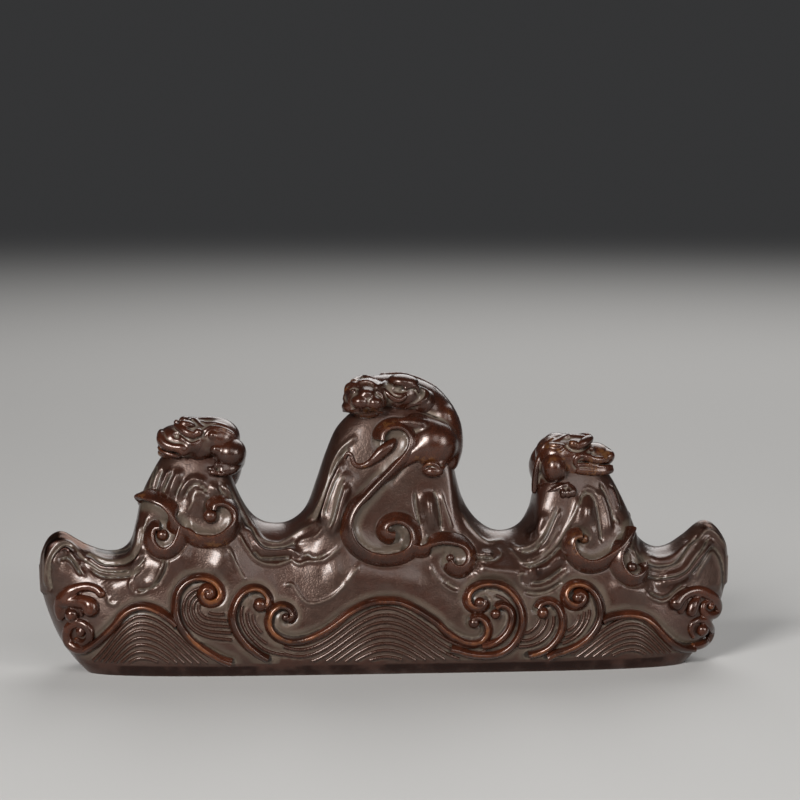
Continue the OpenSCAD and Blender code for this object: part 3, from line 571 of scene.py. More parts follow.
# %% Narrow cuts: depth, half width, points
CUTS = [
    (0.45, 0.35, [(-71.5, 24.2), (-69.5, 22.6), (-67.5, 21.9), (-65, 21.7), (-62.5, 21.8), (-60.5, 22.5),
                  (-58.6, 24)]),
    (0.4, 0.3, [(-75, 27.7), (-73, 26.2), (-71, 24.9), (-69, 23.6), (-66.8, 23.1), (-64, 23), (-61, 23.4),
                (-59.4, 24.5), (-58, 26.8)]),
    (0.45, 0.35, [(-72.8, 28), (-71.2, 27.1), (-69, 25.6), (-67, 24.9), (-64, 24.8), (-61.6, 25.4),
                  (-60.2, 27), (-59.3, 30), (-58.7, 34)]),
    (0.3, 0.4, [(-71, 29.2), (-68.5, 28.1), (-65.5, 27.7), (-62.6, 28.2), (-61, 30)]),
    (0.4, 0.35, [(-80.7, 18), (-80.9, 22), (-80.4, 25.5), (-79.3, 28), (-77.8, 29.5), (-76.6, 29.4),
                 (-75.2, 28)]),
    (0.5, 0.4, [(-78.6, 25.4), (-77.6, 26.4), (-76.8, 26.5), (-75.6, 25.4), (-74.3, 23.4), (-73.1, 22)]),
    (0.4, 0.4, [(-52.6, 26.5), (-53.2, 23.6), (-55, 20.6), (-57.2, 19.1), (-59.4, 18.8), (-60.3, 19.8)]),
    (0.5, 0.35, [(-54.9, 49.6), (-56.3, 46), (-57.4, 42.4)]),
    (0.5, 0.35, [(-53.7, 48.6), (-54.9, 45.4), (-55.8, 42)]),
    (0.5, 0.35, [(-51.2, 47.6), (-52.6, 45.2), (-53.7, 42.6), (-54, 41.4)]),
    (0.5, 0.35, [(-48.6, 45.2), (-50, 43.2), (-50.9, 40.7)]),
    (0.45, 0.35, [(-48.8, 40.6), (-47.6, 43), (-46.2, 44), (-45, 43.9), (-43.8, 43.1), (-42.6, 41.7)]),
    (0.5, 0.35, [(-40.8, 44.4), (-39.4, 42), (-38.3, 40.2)]),
    (0.6, 0.45, [(-37.9, 43.6), (-36.4, 40.4), (-34.9, 37.3), (-33.4, 34.4), (-31.9, 31.5), (-30.2, 29.6),
                 (-28.2, 29), (-26, 28.9), (-23.5, 29.6), (-21.5, 31)]),
    (0.6, 0.45, [(-32.4, 29), (-30.8, 26.9), (-29, 26.4), (-26, 26.5), (-23.6, 26.7), (-22.6, 26.6)]),
    (0.35, 0.35, [(-20.6, 26.4), (-19.2, 27.4), (-17.8, 26.7), (-16, 26.8), (-14, 27.9)]),
    (0.6, 0.4, [(-18.5, 35.3), (-17.2, 36.3), (-16.2, 38), (-15.2, 40.5), (-14.2, 43.6), (-13.2, 46.8),
                (-12, 49.5), (-10.4, 51.7), (-8.6, 53.6)]),
    (0.5, 0.4, [(-13.9, 33.2), (-12.9, 35.4), (-12, 38.5), (-11.1, 42), (-10.2, 44.8)]),
    (0.4, 0.35, [(-14.8, 36), (-14, 39), (-13, 42.2), (-12, 45), (-10.6, 47.6)]),
    (0.6, 0.4, [(6.7, 43), (7, 39.4), (7.6, 36.4), (8.4, 33.6)]),
    (0.6, 0.4, [(11.2, 43.4), (12, 41), (12.7, 38), (13, 35.2), (13.4, 32.6)]),
    (0.4, 0.35, [(13, 22), (14.6, 20.5), (16.3, 19.5), (17.6, 19)]),
    (0.5, 0.35, [(21, 26.9), (23, 26.4), (25, 26.2), (26.4, 26.6)]),
    (0.5, 0.4, [(31.6, 28), (33, 28), (34.8, 28.2), (36.6, 29.4), (38, 31), (39.2, 33.4), (40.2, 35.8),
                (41.4, 38.6)]),
    (0.5, 0.4, [(32.8, 24.4), (35, 24.3), (37.4, 25.4), (39.6, 27), (41.5, 29), (43.2, 31.4),
                (44.8, 34.6)]),
    (0.6, 0.45, [(34.2, 21.2), (36, 20.5), (38, 21), (40, 22.2), (42, 23.7), (43.2, 24.6)]),
    (0.5, 0.35, [(32.9, 18.6), (35.4, 18), (38.2, 18.2), (40.6, 19.5), (42.6, 21.2)]),
    (0.6, 0.4, [(46.4, 38.5), (47, 41.2), (48.3, 42.1), (49.6, 41.4), (50.4, 39.5), (51, 36.5),
                (51.5, 33), (52, 30)]),
    (0.5, 0.35, [(51.4, 44.8), (53, 41.6), (54.2, 38), (55, 34.6)]),
    (0.4, 0.3, [(54.4, 44.6), (55.8, 41.6), (56.8, 38.6)]),
    (0.5, 0.35, [(61, 23.2), (63.5, 22), (66.5, 21.5), (69.5, 21.9), (71.8, 23.2), (74, 26), (75.8, 28.6),
                 (77.2, 30.6), (78.6, 31.4)]),
    (0.5, 0.4, [(72.4, 22), (74.5, 24), (76, 26.3), (77.4, 28.4), (78.8, 29.1), (80, 28), (80.9, 26),
                (81.3, 22), (81, 18)]),
    (0.4, 0.35, [(59.8, 29), (61.4, 26.6), (63.4, 25.1), (66, 24.5), (69, 25), (71, 27), (73, 29.6),
                 (75, 32)]),
    (0.4, 0.35, [(62.6, 18.6), (64.6, 17.6), (66.4, 17), (68.2, 17.7), (69.6, 19), (71.6, 20.6)]),
]
print("cuts:", len(CUTS))

# %% [markdown]
# ## Lines on the face
# Waves and tails are lines before they are relief. Most are drawn here as the eye sees them, then
# carried back on to the face. The water under the three broad swells follows a rule instead:
# grooves like nested humps, each a pitch below the last. Between two grooves stands a rib.

# %% Ways to draw a line
STEP = 0.35      # between two points of a line
BAND_TOP = 3.1   # height of the plain foot band, which the water lines stop above


def evenly(path):
    """The same line with its points a step apart."""
    gaps = np.linalg.norm(np.diff(path, axis=0), axis=1)
    along = np.concatenate([[0], np.cumsum(gaps)])
    at = np.linspace(0, along[-1], max(int(along[-1] / STEP), 4) + 1)
    return np.stack([np.interp(at, along, path[:, k]) for k in range(path.shape[1])], -1)


def drawn(points):
    """A smooth line through points as the eye sees them, on the face."""
    return evenly(carried_back(curve(points, 8)))


def smooth_step(value, low, high):
    """0 below low, 1 above high, smooth between."""
    t = np.clip((value - low) / (high - low), 0, 1)
    return t * t * (3 - 2 * t)


def hump(swell, x, drop):
    """Height of a smooth wave that is given by its top, trough and two half lengths."""
    top_x, top_z, trough_z, left, right = swell
    share = (x - top_x) / np.where(x < top_x, left, right)
    return trough_z - drop + (top_z - trough_z) * (0.5 + 0.5 * np.cos(np.pi * share))


def nested(swell, first, pitch, count, left, right):
    """Grooves under a swell, each pitch lower than the last, cut off over the plain foot band."""
    lines = []
    for k in range(count):
        x = np.arange(swell[0] - left * swell[3], swell[0] + right * swell[4], 0.25)
        z = hump(swell, x, first + k * pitch)
        inside = z > BAND_TOP
        runs = np.split(np.stack([x, z], -1)[inside], np.where(np.diff(x[inside]) > 0.3)[0] + 1)
        lines += [evenly(run) for run in runs if len(run) > 8]
    return lines


def rib_between(upper, lower):
    """The rib that stands between two grooves: its middle line and its width."""
    gaps = np.linalg.norm(lower[:, None] - upper[None, :], axis=-1)
    nearest = gaps.argmin(1)
    width = gaps[np.arange(len(lower)), nearest]
    apart = (nearest > 0) & (nearest < len(upper) - 1) & (width < 2.6)
    if apart.sum() < 6:
        return None
    return ((lower + upper[nearest]) / 2)[apart], width[apart]


print("points of a line 40 mm long:", len(evenly(np.array([[-20.0, 9.0], [20.0, 9.0]]))))

# %% Grooves of water between the crests, and the ribs that stand between two grooves
LEFT_SWELL = (-58.6, 16, 3, 15.5, 20.5)
CENTRE_WAVE = (-1.3, 17.6, 8.1, 20.3, 20.3)
RIGHT_SWELL = (57.6, 14, 4, 20, 14.5)
GROOVES = {
    "left_fan_lines": nested(LEFT_SWELL, 0.5, 1.65, 9, 0.83, 1),
    "centre_swell_lines": nested(CENTRE_WAVE, 0.6, 1.65, 9, 1.2, 1.2),
    "right_fan_lines": nested(RIGHT_SWELL, 0.5, 1.55, 7, 0.76, 0.8),
}
WATER_LINES = {
    "left_breaker_lines": [
        [(-44, 19.7), (-46, 19.4), (-47.9, 18.3), (-49.1, 16.5), (-49.6, 14), (-49.3, 12), (-48.3, 10),
         (-46.6, 8.4), (-44.4, 7.3), (-42, 6.6), (-40, 6.3), (-37.6, 6), (-35.8, 5.5), (-34, 4.6),
         (-32, 3.2), (-29.8, 2.2)],
        [(-45, 18.9), (-46.6, 17.9), (-47.9, 16.2), (-48.3, 14), (-47.8, 12), (-46.6, 10.2), (-44.8, 8.9),
         (-42.5, 8.1), (-40, 7.8), (-37.2, 7.5)],
        [(-45.6, 17.4), (-46.8, 16), (-47.2, 14), (-46.7, 12), (-45.3, 10.4), (-43, 9.6), (-40, 9.4),
         (-37.4, 9.3)],
        [(-45.2, 16.2), (-45.9, 15), (-46, 13.6), (-45.2, 12.2), (-43.6, 11.3), (-41.5, 10.9), (-40, 10.8),
         (-37.8, 10.5)],
        [(-44.7, 15), (-44.4, 13.8), (-43.4, 12.9), (-41.8, 12.4), (-40, 12.2), (-38.4, 12.1)],
        [(-42.6, 14), (-41.8, 13.6), (-40.6, 13.5), (-39, 13.7)]],
    "second_breaker_lines": [
        [(-34, 17), (-35.2, 15.5), (-35.7, 13.5), (-35.6, 11), (-34.6, 8.6), (-33, 6.7), (-31.4, 5),
         (-29.4, 3.6), (-27.2, 2.9), (-25, 2.4), (-22.4, 2.2)],
        [(-34, 14.8), (-34.3, 13), (-33.9, 10.8), (-32.8, 8.6), (-31.2, 6.8), (-29.4, 5.4), (-27.4, 4.5),
         (-25, 4.1), (-22, 3.9)],
        [(-33, 13.2), (-32.7, 11), (-31.7, 9.2), (-30.3, 7.8), (-28.6, 6.4)],
        [(-31.4, 12.8), (-31.2, 11.4), (-30.6, 10.2), (-29.6, 9)]],
    "right_breaker_lines": [
        [(18.5, 5.2), (21, 4.6), (24, 4.5), (26.5, 4.9), (28.5, 5.9), (30.3, 7.9), (31.2, 10), (31.3, 12),
         (30.8, 14), (29.6, 15.9), (27.5, 17.5), (25, 18.3)],
        [(22.6, 5.9), (24.5, 6.2), (26.7, 7), (28.6, 8.6), (29.9, 10.6), (30.2, 12.6), (29.6, 14.6),
         (28.2, 16.2), (26.2, 17)]],
    "fourth_breaker_lines": [
        [(27.5, 3.2), (30, 3.9), (33, 4.5), (36, 5), (38.4, 6.2), (40.2, 8.2), (41, 10.5), (40.9, 12.5),
         (40.3, 14)],
        [(31.6, 5.9), (34, 5.9), (36.4, 6.9), (38.3, 8.6), (39.3, 10.6), (39.6, 12.4)],
        [(32.6, 7.4), (34.4, 7.6), (36.2, 8.8), (37.4, 10.4), (38, 12)],
        [(33, 9.2), (34.2, 9.7), (35.4, 10.8), (36, 12)]],
    "fifth_breaker_lines": [
        [(37.6, 3), (39.6, 4.2), (41.8, 5.3), (44, 6.2), (46.2, 7.6), (48, 9.6), (49.3, 12), (49.6, 14.5),
         (49, 16.6)],
        [(42.2, 6.3), (44, 6.9), (45.8, 8.2), (47.2, 10), (48, 12), (48.2, 14)],
        [(42.8, 8), (44.4, 8.6), (46, 10), (46.9, 11.8), (47.1, 13.6)],
        [(43.3, 9.6), (44.6, 10.2), (45.5, 11.4), (45.8, 13)]],
}
GROOVES |= {name: [drawn(line) for line in lines] for name, lines in WATER_LINES.items()}
RIBS = {name: [rib for a, b in zip(lines, lines[1:]) if (rib := rib_between(a, b)) is not None]
        for name, lines in GROOVES.items()}
print("grooves:", sum(len(lines) for lines in GROOVES.values()),
      "ribs:", sum(len(lines) for lines in RIBS.values()))

# %% Crests of the waves: the line as seen, and its girth from the foot to the curl
CRESTS = {
    "left_fan_crest": [
        ([(-72.5, 4.6), (-70, 6.1), (-67.5, 8.2), (-65, 10.7), (-63, 12.8), (-61, 14), (-59, 14.5),
          (-57, 14.2), (-54.5, 13.1), (-52, 11.4), (-50.6, 10.2)], [0.9, 0.9, 0.9, 1, 1.1, 1.1, 1, 1])],
    "left_breaker": [
        ([(-37.4, 1.3), (-39.2, 1.9), (-41.2, 2.9), (-43.2, 4.1), (-45.2, 5.5), (-47, 7.1),
          (-48.5, 8.9), (-49.7, 10.8), (-50.4, 13), (-50.5, 15.4), (-50.1, 17.8), (-49, 19.6),
          (-47.3, 20.9), (-45.4, 21.4), (-43.4, 21.3), (-41.7, 20.5), (-40.5, 19.1), (-40.2, 17.6),
          (-40.9, 16.4), (-42.3, 15.9), (-43.8, 16.5), (-44.2, 17.8), (-43.6, 18.9), (-42.6, 18.9),
          (-42.2, 18), (-42.7, 17.3)],
         [0.12, 0.7, 1.15, 1.25, 1.15, 1.0, 0.9, 0.9, 0.95, 1, 1.1, 1.25, 1.3, 1.2, 1.1, 0.8])],
    "second_breaker": [
        ([(-28.7, 2.2), (-30.2, 3.1), (-31.8, 4.3), (-33.6, 5.9), (-35.3, 8), (-36.4, 10.2), (-36.8, 12.4),
          (-36.4, 14.6), (-35.5, 16.5), (-34.2, 17.9), (-32.6, 18.7), (-30.9, 18.7), (-29.5, 17.9),
          (-28.7, 16.6), (-28.9, 15.3), (-29.8, 14.9)],
         [0.15, 0.9, 1.1, 1.05, 1, 0.9, 0.9, 0.95, 1, 1.15, 1.3, 1.3, 1.15])],
    "centre_swell": [
        ([(-24, 11.7), (-22.9, 12.5), (-23.6, 14), (-25.4, 14.6), (-27.2, 13.5), (-28, 11.5), (-27.7, 9.4),
          (-26, 7.6), (-23.4, 6.6), (-20.6, 6.7), (-17.5, 7.7), (-14.5, 9.2), (-11.5, 11.2), (-8.8, 13.1),
          (-6, 14.6), (-3.2, 15.6), (-0.3, 15.9), (3.2, 15.6), (7.4, 13.8), (11.5, 11.2), (15, 8.5),
          (18, 6.8), (20.5, 6.2), (22.6, 6.6), (23.9, 8), (24.1, 9.8), (23.2, 11.4), (21.8, 12),
          (20.6, 11.4)],
         [1.1, 1.3, 1.35, 1.4, 1.35, 1.15, 1, 1, 1, 1, 1, 1, 1, 1, 1, 1.1, 1.15, 1.1, 1])],
    "right_breaker": [
        ([(15.5, 4.6), (17.5, 4.2), (20, 3.6), (23, 3.3), (26, 3.5), (28.6, 4.5), (30.7, 6.4), (32, 8.8),
          (32.5, 11.5), (32.2, 14), (31, 16.5), (29.2, 18.5), (27, 19.6), (24.6, 19.9), (22.2, 19.5),
          (20.4, 18.2), (19.8, 16.5), (20.5, 15), (22, 14.4), (23.4, 15.1), (23.6, 16.3)],
         [0.9, 1, 1, 0.95, 0.9, 0.9, 0.95, 1.05, 1.1, 1.1, 1.1, 1.15, 1.1, 0.9]),
        ([(23, 5.4), (25.2, 5.9), (27.2, 7), (29, 8.9), (29.9, 11.2), (29.9, 13.2), (29, 14.5),
          (27.5, 14.9), (26.3, 14.3)], [0.5, 0.6, 0.7, 0.75, 0.85, 0.9])],
    "fourth_breaker": [
        ([(34.2, 3.2), (36.6, 3.9), (39, 5.2), (40.8, 7.1), (41.9, 9.4), (42.1, 11.7), (41.5, 13.8),
          (40.3, 15.3), (38.8, 15.8), (37.3, 15.3), (36.6, 14.2)],
         [1.3, 1.2, 1, 0.95, 0.95, 0.95, 0.95, 0.9])],
    "fifth_breaker": [
        ([(38.8, 2.6), (41, 3.5), (43.4, 4.4), (46, 5.7), (48.4, 7.5), (50.2, 9.8), (51.2, 12.3),
          (51.2, 14.8), (50.4, 17.1), (48.8, 19), (46.8, 19.9), (44.9, 19.7), (43.6, 18.6), (43.3, 17),
          (44.1, 15.8), (45.6, 15.2), (47, 15.7), (47.5, 17), (46.6, 17.9), (45.5, 17.4)],
         [1.1, 1.2, 1.1, 1, 0.95, 1, 1, 1.05, 1.15, 1.2, 1.1, 0.9, 0.8])],
    "right_fan_crest": [
        ([(52, 11.2), (54, 12), (56.5, 12.5), (59, 12.6), (61.5, 12.1), (63.5, 11), (65.5, 9.2),
          (67.5, 7.3), (69.5, 5.8), (71.5, 5), (73.6, 4.8)], [0.8, 0.9, 1.05, 1.1, 1, 0.9, 0.9, 0.9])],
}
# Knobs of wax in the heart of the curls, as seen: across, up, radius
KNOBS = {
    "left_breaker": [(-42.7, 17.7, 1.3)],
    "second_breaker": [(-30.5, 15.2, 1.75)],
    "centre_swell": [(-24.3, 12.2, 1.0), (21, 10.9, 1.35)],
    "right_breaker": [(22.5, 15.7, 1.4), (26.2, 13, 1.25)],
    "fourth_breaker": [(37.6, 13.3, 1.45)],
    "fifth_breaker": [(46, 17, 1.35)],
}
print("waves:", list(CRESTS))

# %% Tails of the dragons: the line as seen, and its girth at either end
TAILS = {
    "left_dragon_tail": [
        ([(-58.7, 40.7), (-57.9, 40.6), (-56.7, 40.3), (-55.2, 39.7), (-53.7, 38.9), (-52.5, 37.7),
          (-51.3, 36.1), (-50.2, 34.6), (-49.1, 33.7), (-47.4, 32.9), (-45.7, 31.9), (-44, 31.5),
          (-41.8, 31.5), (-40.1, 32), (-38.6, 33.1), (-37.6, 34.8), (-37.5, 36.7), (-38.3, 38.3),
          (-39.7, 39.2), (-41.2, 39), (-41.6, 37.9)], 1.0, 0.7),
        ([(-49.6, 34), (-50, 32.6), (-50.7, 30.7), (-51.6, 29.4), (-53, 28.5), (-54.5, 28.8),
          (-55.6, 30.1), (-56, 31.8), (-55.5, 33.3), (-54.4, 33.6)], 0.9, 0.7)],
    "centre_dragon_tail": [
        ([(-1, 54.6), (-0.5, 56.3), (1, 57.4), (3.1, 57.5), (4.7, 56.6), (5.6, 54.8), (5.2, 52.7),
          (4.2, 51.1), (2.6, 49.2), (0.5, 46.9), (-2.4, 43.9), (-5.2, 40.8), (-7.3, 38.1), (-8.4, 35.4),
          (-8.4, 32.8), (-7.3, 30.2), (-5.2, 28.3), (-2.6, 27.2), (0.3, 26.9), (3.1, 27.5), (5.1, 28.6),
          (6, 30.2), (6, 32), (5.1, 33.9), (3.4, 35), (1.8, 35), (0.4, 34.4), (-0.2, 33.2), (0.6, 32.3),
          (2, 32.1)], 1.0, 0.75),
        ([(6, 29.6), (8.1, 29), (10.4, 29.6), (13.3, 30.1), (15.7, 29.9), (17.8, 29), (19.1, 27.3),
          (19.1, 25.5), (17.8, 24.2), (16.2, 24.6), (15.3, 25.8)], 0.75, 0.7)],
    "right_dragon_tail": [
        ([(58.4, 33.3), (58.1, 32.3), (57.6, 31.2), (56.5, 29.4), (54.7, 27.9), (52.8, 26.7), (50.9, 25.8),
          (48.9, 25.5), (47.2, 26.1), (45.7, 27.4), (44.9, 29.2), (44.9, 30.5), (45.7, 31.5),
          (46.8, 31.5)], 0.15, 0.8),
        ([(57.4, 30), (56.5, 28.3), (56.1, 26.4), (56.5, 24.6), (57.5, 22.9), (59, 22), (60.5, 22.3),
          (61.3, 23.6), (61, 25.2)], 0.9, 0.7)],
}
# Balls in the curls of the tails, given like the knobs
BALLS = {
    "left_dragon_tail": [(-42.5, 36.6, 1.75), (-53.9, 32.0, 1.45)],
    "centre_dragon_tail": [(15.3, 26.5, 1.0)],
    "right_dragon_tail": [(47.5, 31.1, 1.15), (58.9, 24.3, 1.35)],
}
print("tails:", list(TAILS))

# %% Carry the lines back on to the face
END_GIRTH, END_RUN = 0.25, 1.1   # girth at the very end of a line, and mm in which it fills out


def girth(count, sizes):
    """Size along a line from a row of sizes, with both ends rounded."""
    size = np.interp(np.linspace(0, 1, count), np.linspace(0, 1, len(sizes)), sizes)
    ends = np.minimum(np.arange(count), np.arange(count)[::-1]) * STEP / END_RUN
    return size * np.sqrt(np.clip(1 - (1 - np.clip(ends, 0, 1)) ** 2, END_GIRTH ** 2, 1))


crest_lines = {name: [(drawn(p), sizes) for p, sizes in strands] for name, strands in CRESTS.items()}
tail_lines = {name: [(drawn(p), (a, 1, 1, b)) for p, a, b in strands] for name, strands in TAILS.items()}
print("lines of crests:", sum(len(strands) for strands in crest_lines.values()),
      "and of tails:", sum(len(strands) for strands in tail_lines.values()))

# %% [markdown]
# ## The mountain
# One mesh: rows of points run up the front, over the ridge and down the back. Each point then
# moves out along its normal by the relief there. Folds add height. A shallow channel lies beside
# every crest and tail, where the wax tool pressed it in, and inside the curl of a tail the rock
# rises to its edge like a dish. The back has the same relief, but no marks of the tails.

# %% How far a face point lies from a line
BEND_SPAN, SHARP_BEND = 10, 0.02


def beside(line, x, z, reach):
    """Indices of the points within reach of a line, with distance, side and share along it."""
    low, high = line.min(0) - reach, line.max(0) + reach
    near = np.where((x > low[0]) & (x < high[0]) & (z > low[1]) & (z < high[1]))[0]
    dx = x[near, None] - line[None, :, 0]
    dz = z[near, None] - line[None, :, 1]
    squared = dx * dx + dz * dz
    at = squared.argmin(1)
    tangent = unit(np.gradient(line, axis=0))[at]
    rows = np.arange(len(near))
    side = tangent[:, 0] * dz[rows, at] - tangent[:, 1] * dx[rows, at]
    distance = np.sqrt(squared[rows, at])
    keep = distance < reach
    return near[keep], distance[keep], side[keep], (at / (len(line) - 1))[keep]


def bend_of(line):
    """Which side a line curls to: 1 to its left, -1 to its right, smooth in between."""
    tangent = unit(np.gradient(line, axis=0))
    turning = tangent[:-1, 0] * tangent[1:, 1] - tangent[:-1, 1] * tangent[1:, 0]
    turning = np.append(turning, turning[-1])
    kernel = np.hanning(BEND_SPAN * 2 + 1)
    padded = np.pad(turning, BEND_SPAN, mode="edge")
    return np.tanh(np.convolve(padded, kernel / kernel.sum(), mode="valid") / SHARP_BEND)


print("points of the first crest:", len(crest_lines["left_fan_crest"][0][0]))

# %% Folds of rock: height in mm and the lift that the patina reads
MARK_REACH = 2.5     # half widths of a mark that its edge still touches
RIDGE_GAIN = 1.3
CUT_GAIN = 1.4
CLEAN_OUTLINE = 0.3  # hands and brushes rub the rock clean along its outline
# How near black the middle of a cut is painted, as painted shade
CUT_PAINTED_SHADE = 0.98
DUST_LIFT = 0.26


def line_ends(line, share, run):
    """1 along a line, down to 0 over its last run millimetres at both ends."""
    return smooth_step(np.minimum(share, 1 - share) * len(line) * STEP, 0, run)


def pressed(marks, x, z):
    """For every mark, the points near it, its height there and how far off its line they lie."""
    for high, width, points in marks:
        line = drawn(points)
        near, distance, _, share = beside(line, x, z, MARK_REACH * width)
        yield near, high * line_ends(line, share, 1 + width), distance / width


def rock_folds(x, z):
    """Height and lift of the rock alone, with its swells, ridges, cuts and lips."""
    swells, ridges = np.zeros_like(x), np.zeros_like(x)
    for near, high, off in pressed(SWELLS, x, z):
        swells[near] += (high * np.exp(-off ** 2)) ** 2
    for near, high, off in pressed(RIDGES, x, z):
        ridges[near] += (high * np.exp(-off ** 2.2)) ** 3
    height = RIDGE_GAIN * ridges ** (1 / 3)
    slope = ridge(x + 0.5) - ridge(x - 0.5)
    inside = (ridge(x) - z) / np.sqrt(1 + slope ** 2)
    lift = 0.5 + 0.2 * height + CLEAN_OUTLINE * (1 - smooth_step(inside, 2, 8))
    height = height + np.sqrt(swells)
    for near, deep, off in pressed(CUTS, x, z):
        height[near] -= CUT_GAIN * deep * np.exp(-off ** 2)
        # The middle of a cut gets a lift near 0, which paints it nearly black as shade
        lift[near] = np.minimum(lift[near], 1 - CUT_PAINTED_SHADE * np.exp(-off ** 4 / 2) * deep / deep.max())
    for near, high, off in pressed(LIPS, x, z):
        height[near] += high * np.exp(-off ** 2)
        dusty = np.exp(-1.5 * off ** 4) * high / high.max()
        lift[near] = lift[near] * (1 - dusty) + DUST_LIFT * dusty
    return height, lift


print("marks in the rock:", len(RIDGES + SWELLS + LIPS + CUTS))

# %% Seats of the crests, dishes of the tails and grooves of the water
CREST_SEAT = 0.3
DISH, DISH_FALL = 1.5, 1.1
TAIL_CHANNEL = 0.3
GROOVE_DEPTH, GROOVE_HALF = 0.12, 0.42


def seat_crests(height, lift, x, z):
    """A dark channel on both sides of every crest: the rock next to the crest is painted shadow."""
    for line in (line for strands in crest_lines.values() for line, _ in strands):
        near, distance, _, _ = beside(line, x, z, 5)
        clear = smooth_step(distance, 0.8, 2.4)
        height[near] = height[near] * clear - CREST_SEAT * (1 - smooth_step(distance, 0.9, 2))
        # Next to a crest the lift is near 0, a painted shadow; a little further out lies pale dust
        lift[near] = np.minimum(lift[near], 0.04 + 0.24 * smooth_step(distance, 0.9, 1.5)
                                + 0.4 * smooth_step(distance, 1.8, 5))


def seat_tails(height, lift, x, z, front):
    """On the front, rock that rises like a dish inside a tail, and a channel outside it."""
    for line in (line for strands in tail_lines.values() for line, _ in strands):
        bend = bend_of(line)
        near, distance, side, share = beside(line, x, z, 4.5)
        seen = front[near]
        near, distance, side, share = near[seen], distance[seen], side[seen], share[seen]
        inner = smooth_step(side * bend[(share * (len(line) - 1)).astype(int)], -0.3, 0.3)
        dish = DISH * np.exp(-distance / DISH_FALL) * inner * line_ends(line, share, 3)
        clear = smooth_step(distance, 1.2, 3)
        channel = TAIL_CHANNEL * (1 - smooth_step(distance, 1.6, 3)) * (1 - inner)
        height[near] = height[near] * clear + dish - channel
        # Near a tail the lift falls: painted shadow in the channel outside, pale dust in the dish inside
        lift[near] = lift[near] * clear + (1 - clear) * (0.1 + 0.17 * inner)
        lift[near] = np.minimum(lift[near], 0.24 + 0.4 * smooth_step(distance, 1.5, 4.5))


def cut_grooves(height, lift, x, z):
    """Fine grooves of water, with no fold of rock left between them."""
    for line in (line for lines in GROOVES.values() for line in lines):
        near, distance, _, _ = beside(line, x, z, 1.6)
        groove = np.exp(-(distance / GROOVE_HALF) ** 2)
        height[near] = height[near] * smooth_step(distance, 0.9, 1.6) - GROOVE_DEPTH * groove
        lift[near] = np.minimum(lift[near], 0.75 - 0.5 * groove)


def relief_at(x, z, front):
    """Height over the core and lift of points on either face. Tails press on the front alone."""
    height, lift = rock_folds(x, z)
    seat_crests(height, lift, x, z)
    seat_tails(height, lift, x, z, front)
    cut_grooves(height, lift, x, z)
    # The foot band stays plain, and a lift of 1 paints it the rock's dark rub: partly worn metal, partly
    # painted shade
    band = 1 - smooth_step(z, 2.4, 3.4)
    return height * (1 - band), lift * (1 - band) + band


print("crests to seat:", len(crest_lines), "and tails:", len(tail_lines))

# %% Points of the bare mountain
FRONT_ROWS, BACK_ROWS, MIDDLE_STATIONS, END_STATIONS = 128, 42, 540, 16
STRAIGHT_HALF = 80                 # half length with evenly spaced stations
LOW_SHARE, LOW_LIMIT = 0.6, 22.0   # the even rows end at this share of the outline, or height
UNEVEN = 0.17                      # rise and fall that the hand leaves in wax
SLOW_WAVE, QUICK_WAVE = 0.13, 0.4
TIP_EDGE = 82.6                    # where the relief has run out at the tips
GROUND = 1e-6                      # m: points this close are one, faces this low are the foot


def row_heights(top, rows):
    """Heights of the rows up one face: even over the waves, then closing up to the ridge."""
    low = np.minimum(LOW_SHARE * top, LOW_LIMIT) / top
    lower = round(rows * 0.5)
    t = np.arange(1, rows - lower + 1) / (rows - lower)
    start = np.arcsin(low ** 3)
    upper = np.sin(start[:, None] + (np.pi / 2 - start[:, None]) * t) ** (1 / 3)
    # The arc closes on the ridge. Blended with even steps, its first rows don't open up too far.
    even = low[:, None] + (1 - low[:, None]) * t
    upper = upper * t ** 2 + even * (1 - t ** 2)
    return np.concatenate([low[:, None] * np.arange(lower) / lower, upper], 1) * top[:, None]


def mountain_grid():
    """Points of the bare mountain: at every station a row up the front and down the back."""
    turn = np.sin(np.pi / 2 * np.arange(1, END_STATIONS + 1) / END_STATIONS)
    end = STRAIGHT_HALF + (TIP_HALF - STRAIGHT_HALF) * turn
    middle = np.linspace(-STRAIGHT_HALF, STRAIGHT_HALF, MIDDLE_STATIONS)
    s = np.concatenate([-end[::-1], middle, end])
    top = ridge(s)
    sides = []
    for sign, rows in ((-1, FRONT_ROWS), (1, BACK_ROWS)):
        z = row_heights(top, rows)
        stations = np.repeat(s[:, None], z.shape[1], 1)
        x = stations - tuck(stations, z)
        y = sign * half_depth(stations, z)
        y[:, -1] = 0
        sides.append(np.stack([x, y, z], -1))
    return np.concatenate([sides[0], sides[1][:, -2::-1]], 1)


def grid_normals(grid):
    """The way out of the mountain at every point of its grid."""
    along, up = np.gradient(grid, axis=0), np.gradient(grid, axis=1)
    normal = unit(np.cross(along, up))
    # Sampled from the side each point lies on, so the two tips look along X
    normal[0], normal[-1] = (-1, 0, 0), (1, 0, 0)
    return normal


def unevenness(points):
    """The slow rise and fall that a hand leaves in wax."""
    return np.array([noise.noise(Vector(p) * SLOW_WAVE) + 0.35 * noise.noise(Vector(p) * QUICK_WAVE)
                     for p in points]) * UNEVEN


print("rows:", FRONT_ROWS, "up the front,", BACK_ROWS, "down the back")

# %% Press the relief into it
grid = mountain_grid()
normals = grid_normals(grid)
flat = grid.reshape(-1, 3)
height, lift = relief_at(flat[:, 0], flat[:, 2], flat[:, 1] <= 0)
height += unevenness(flat) * smooth_step(flat[:, 2], 1, 4)
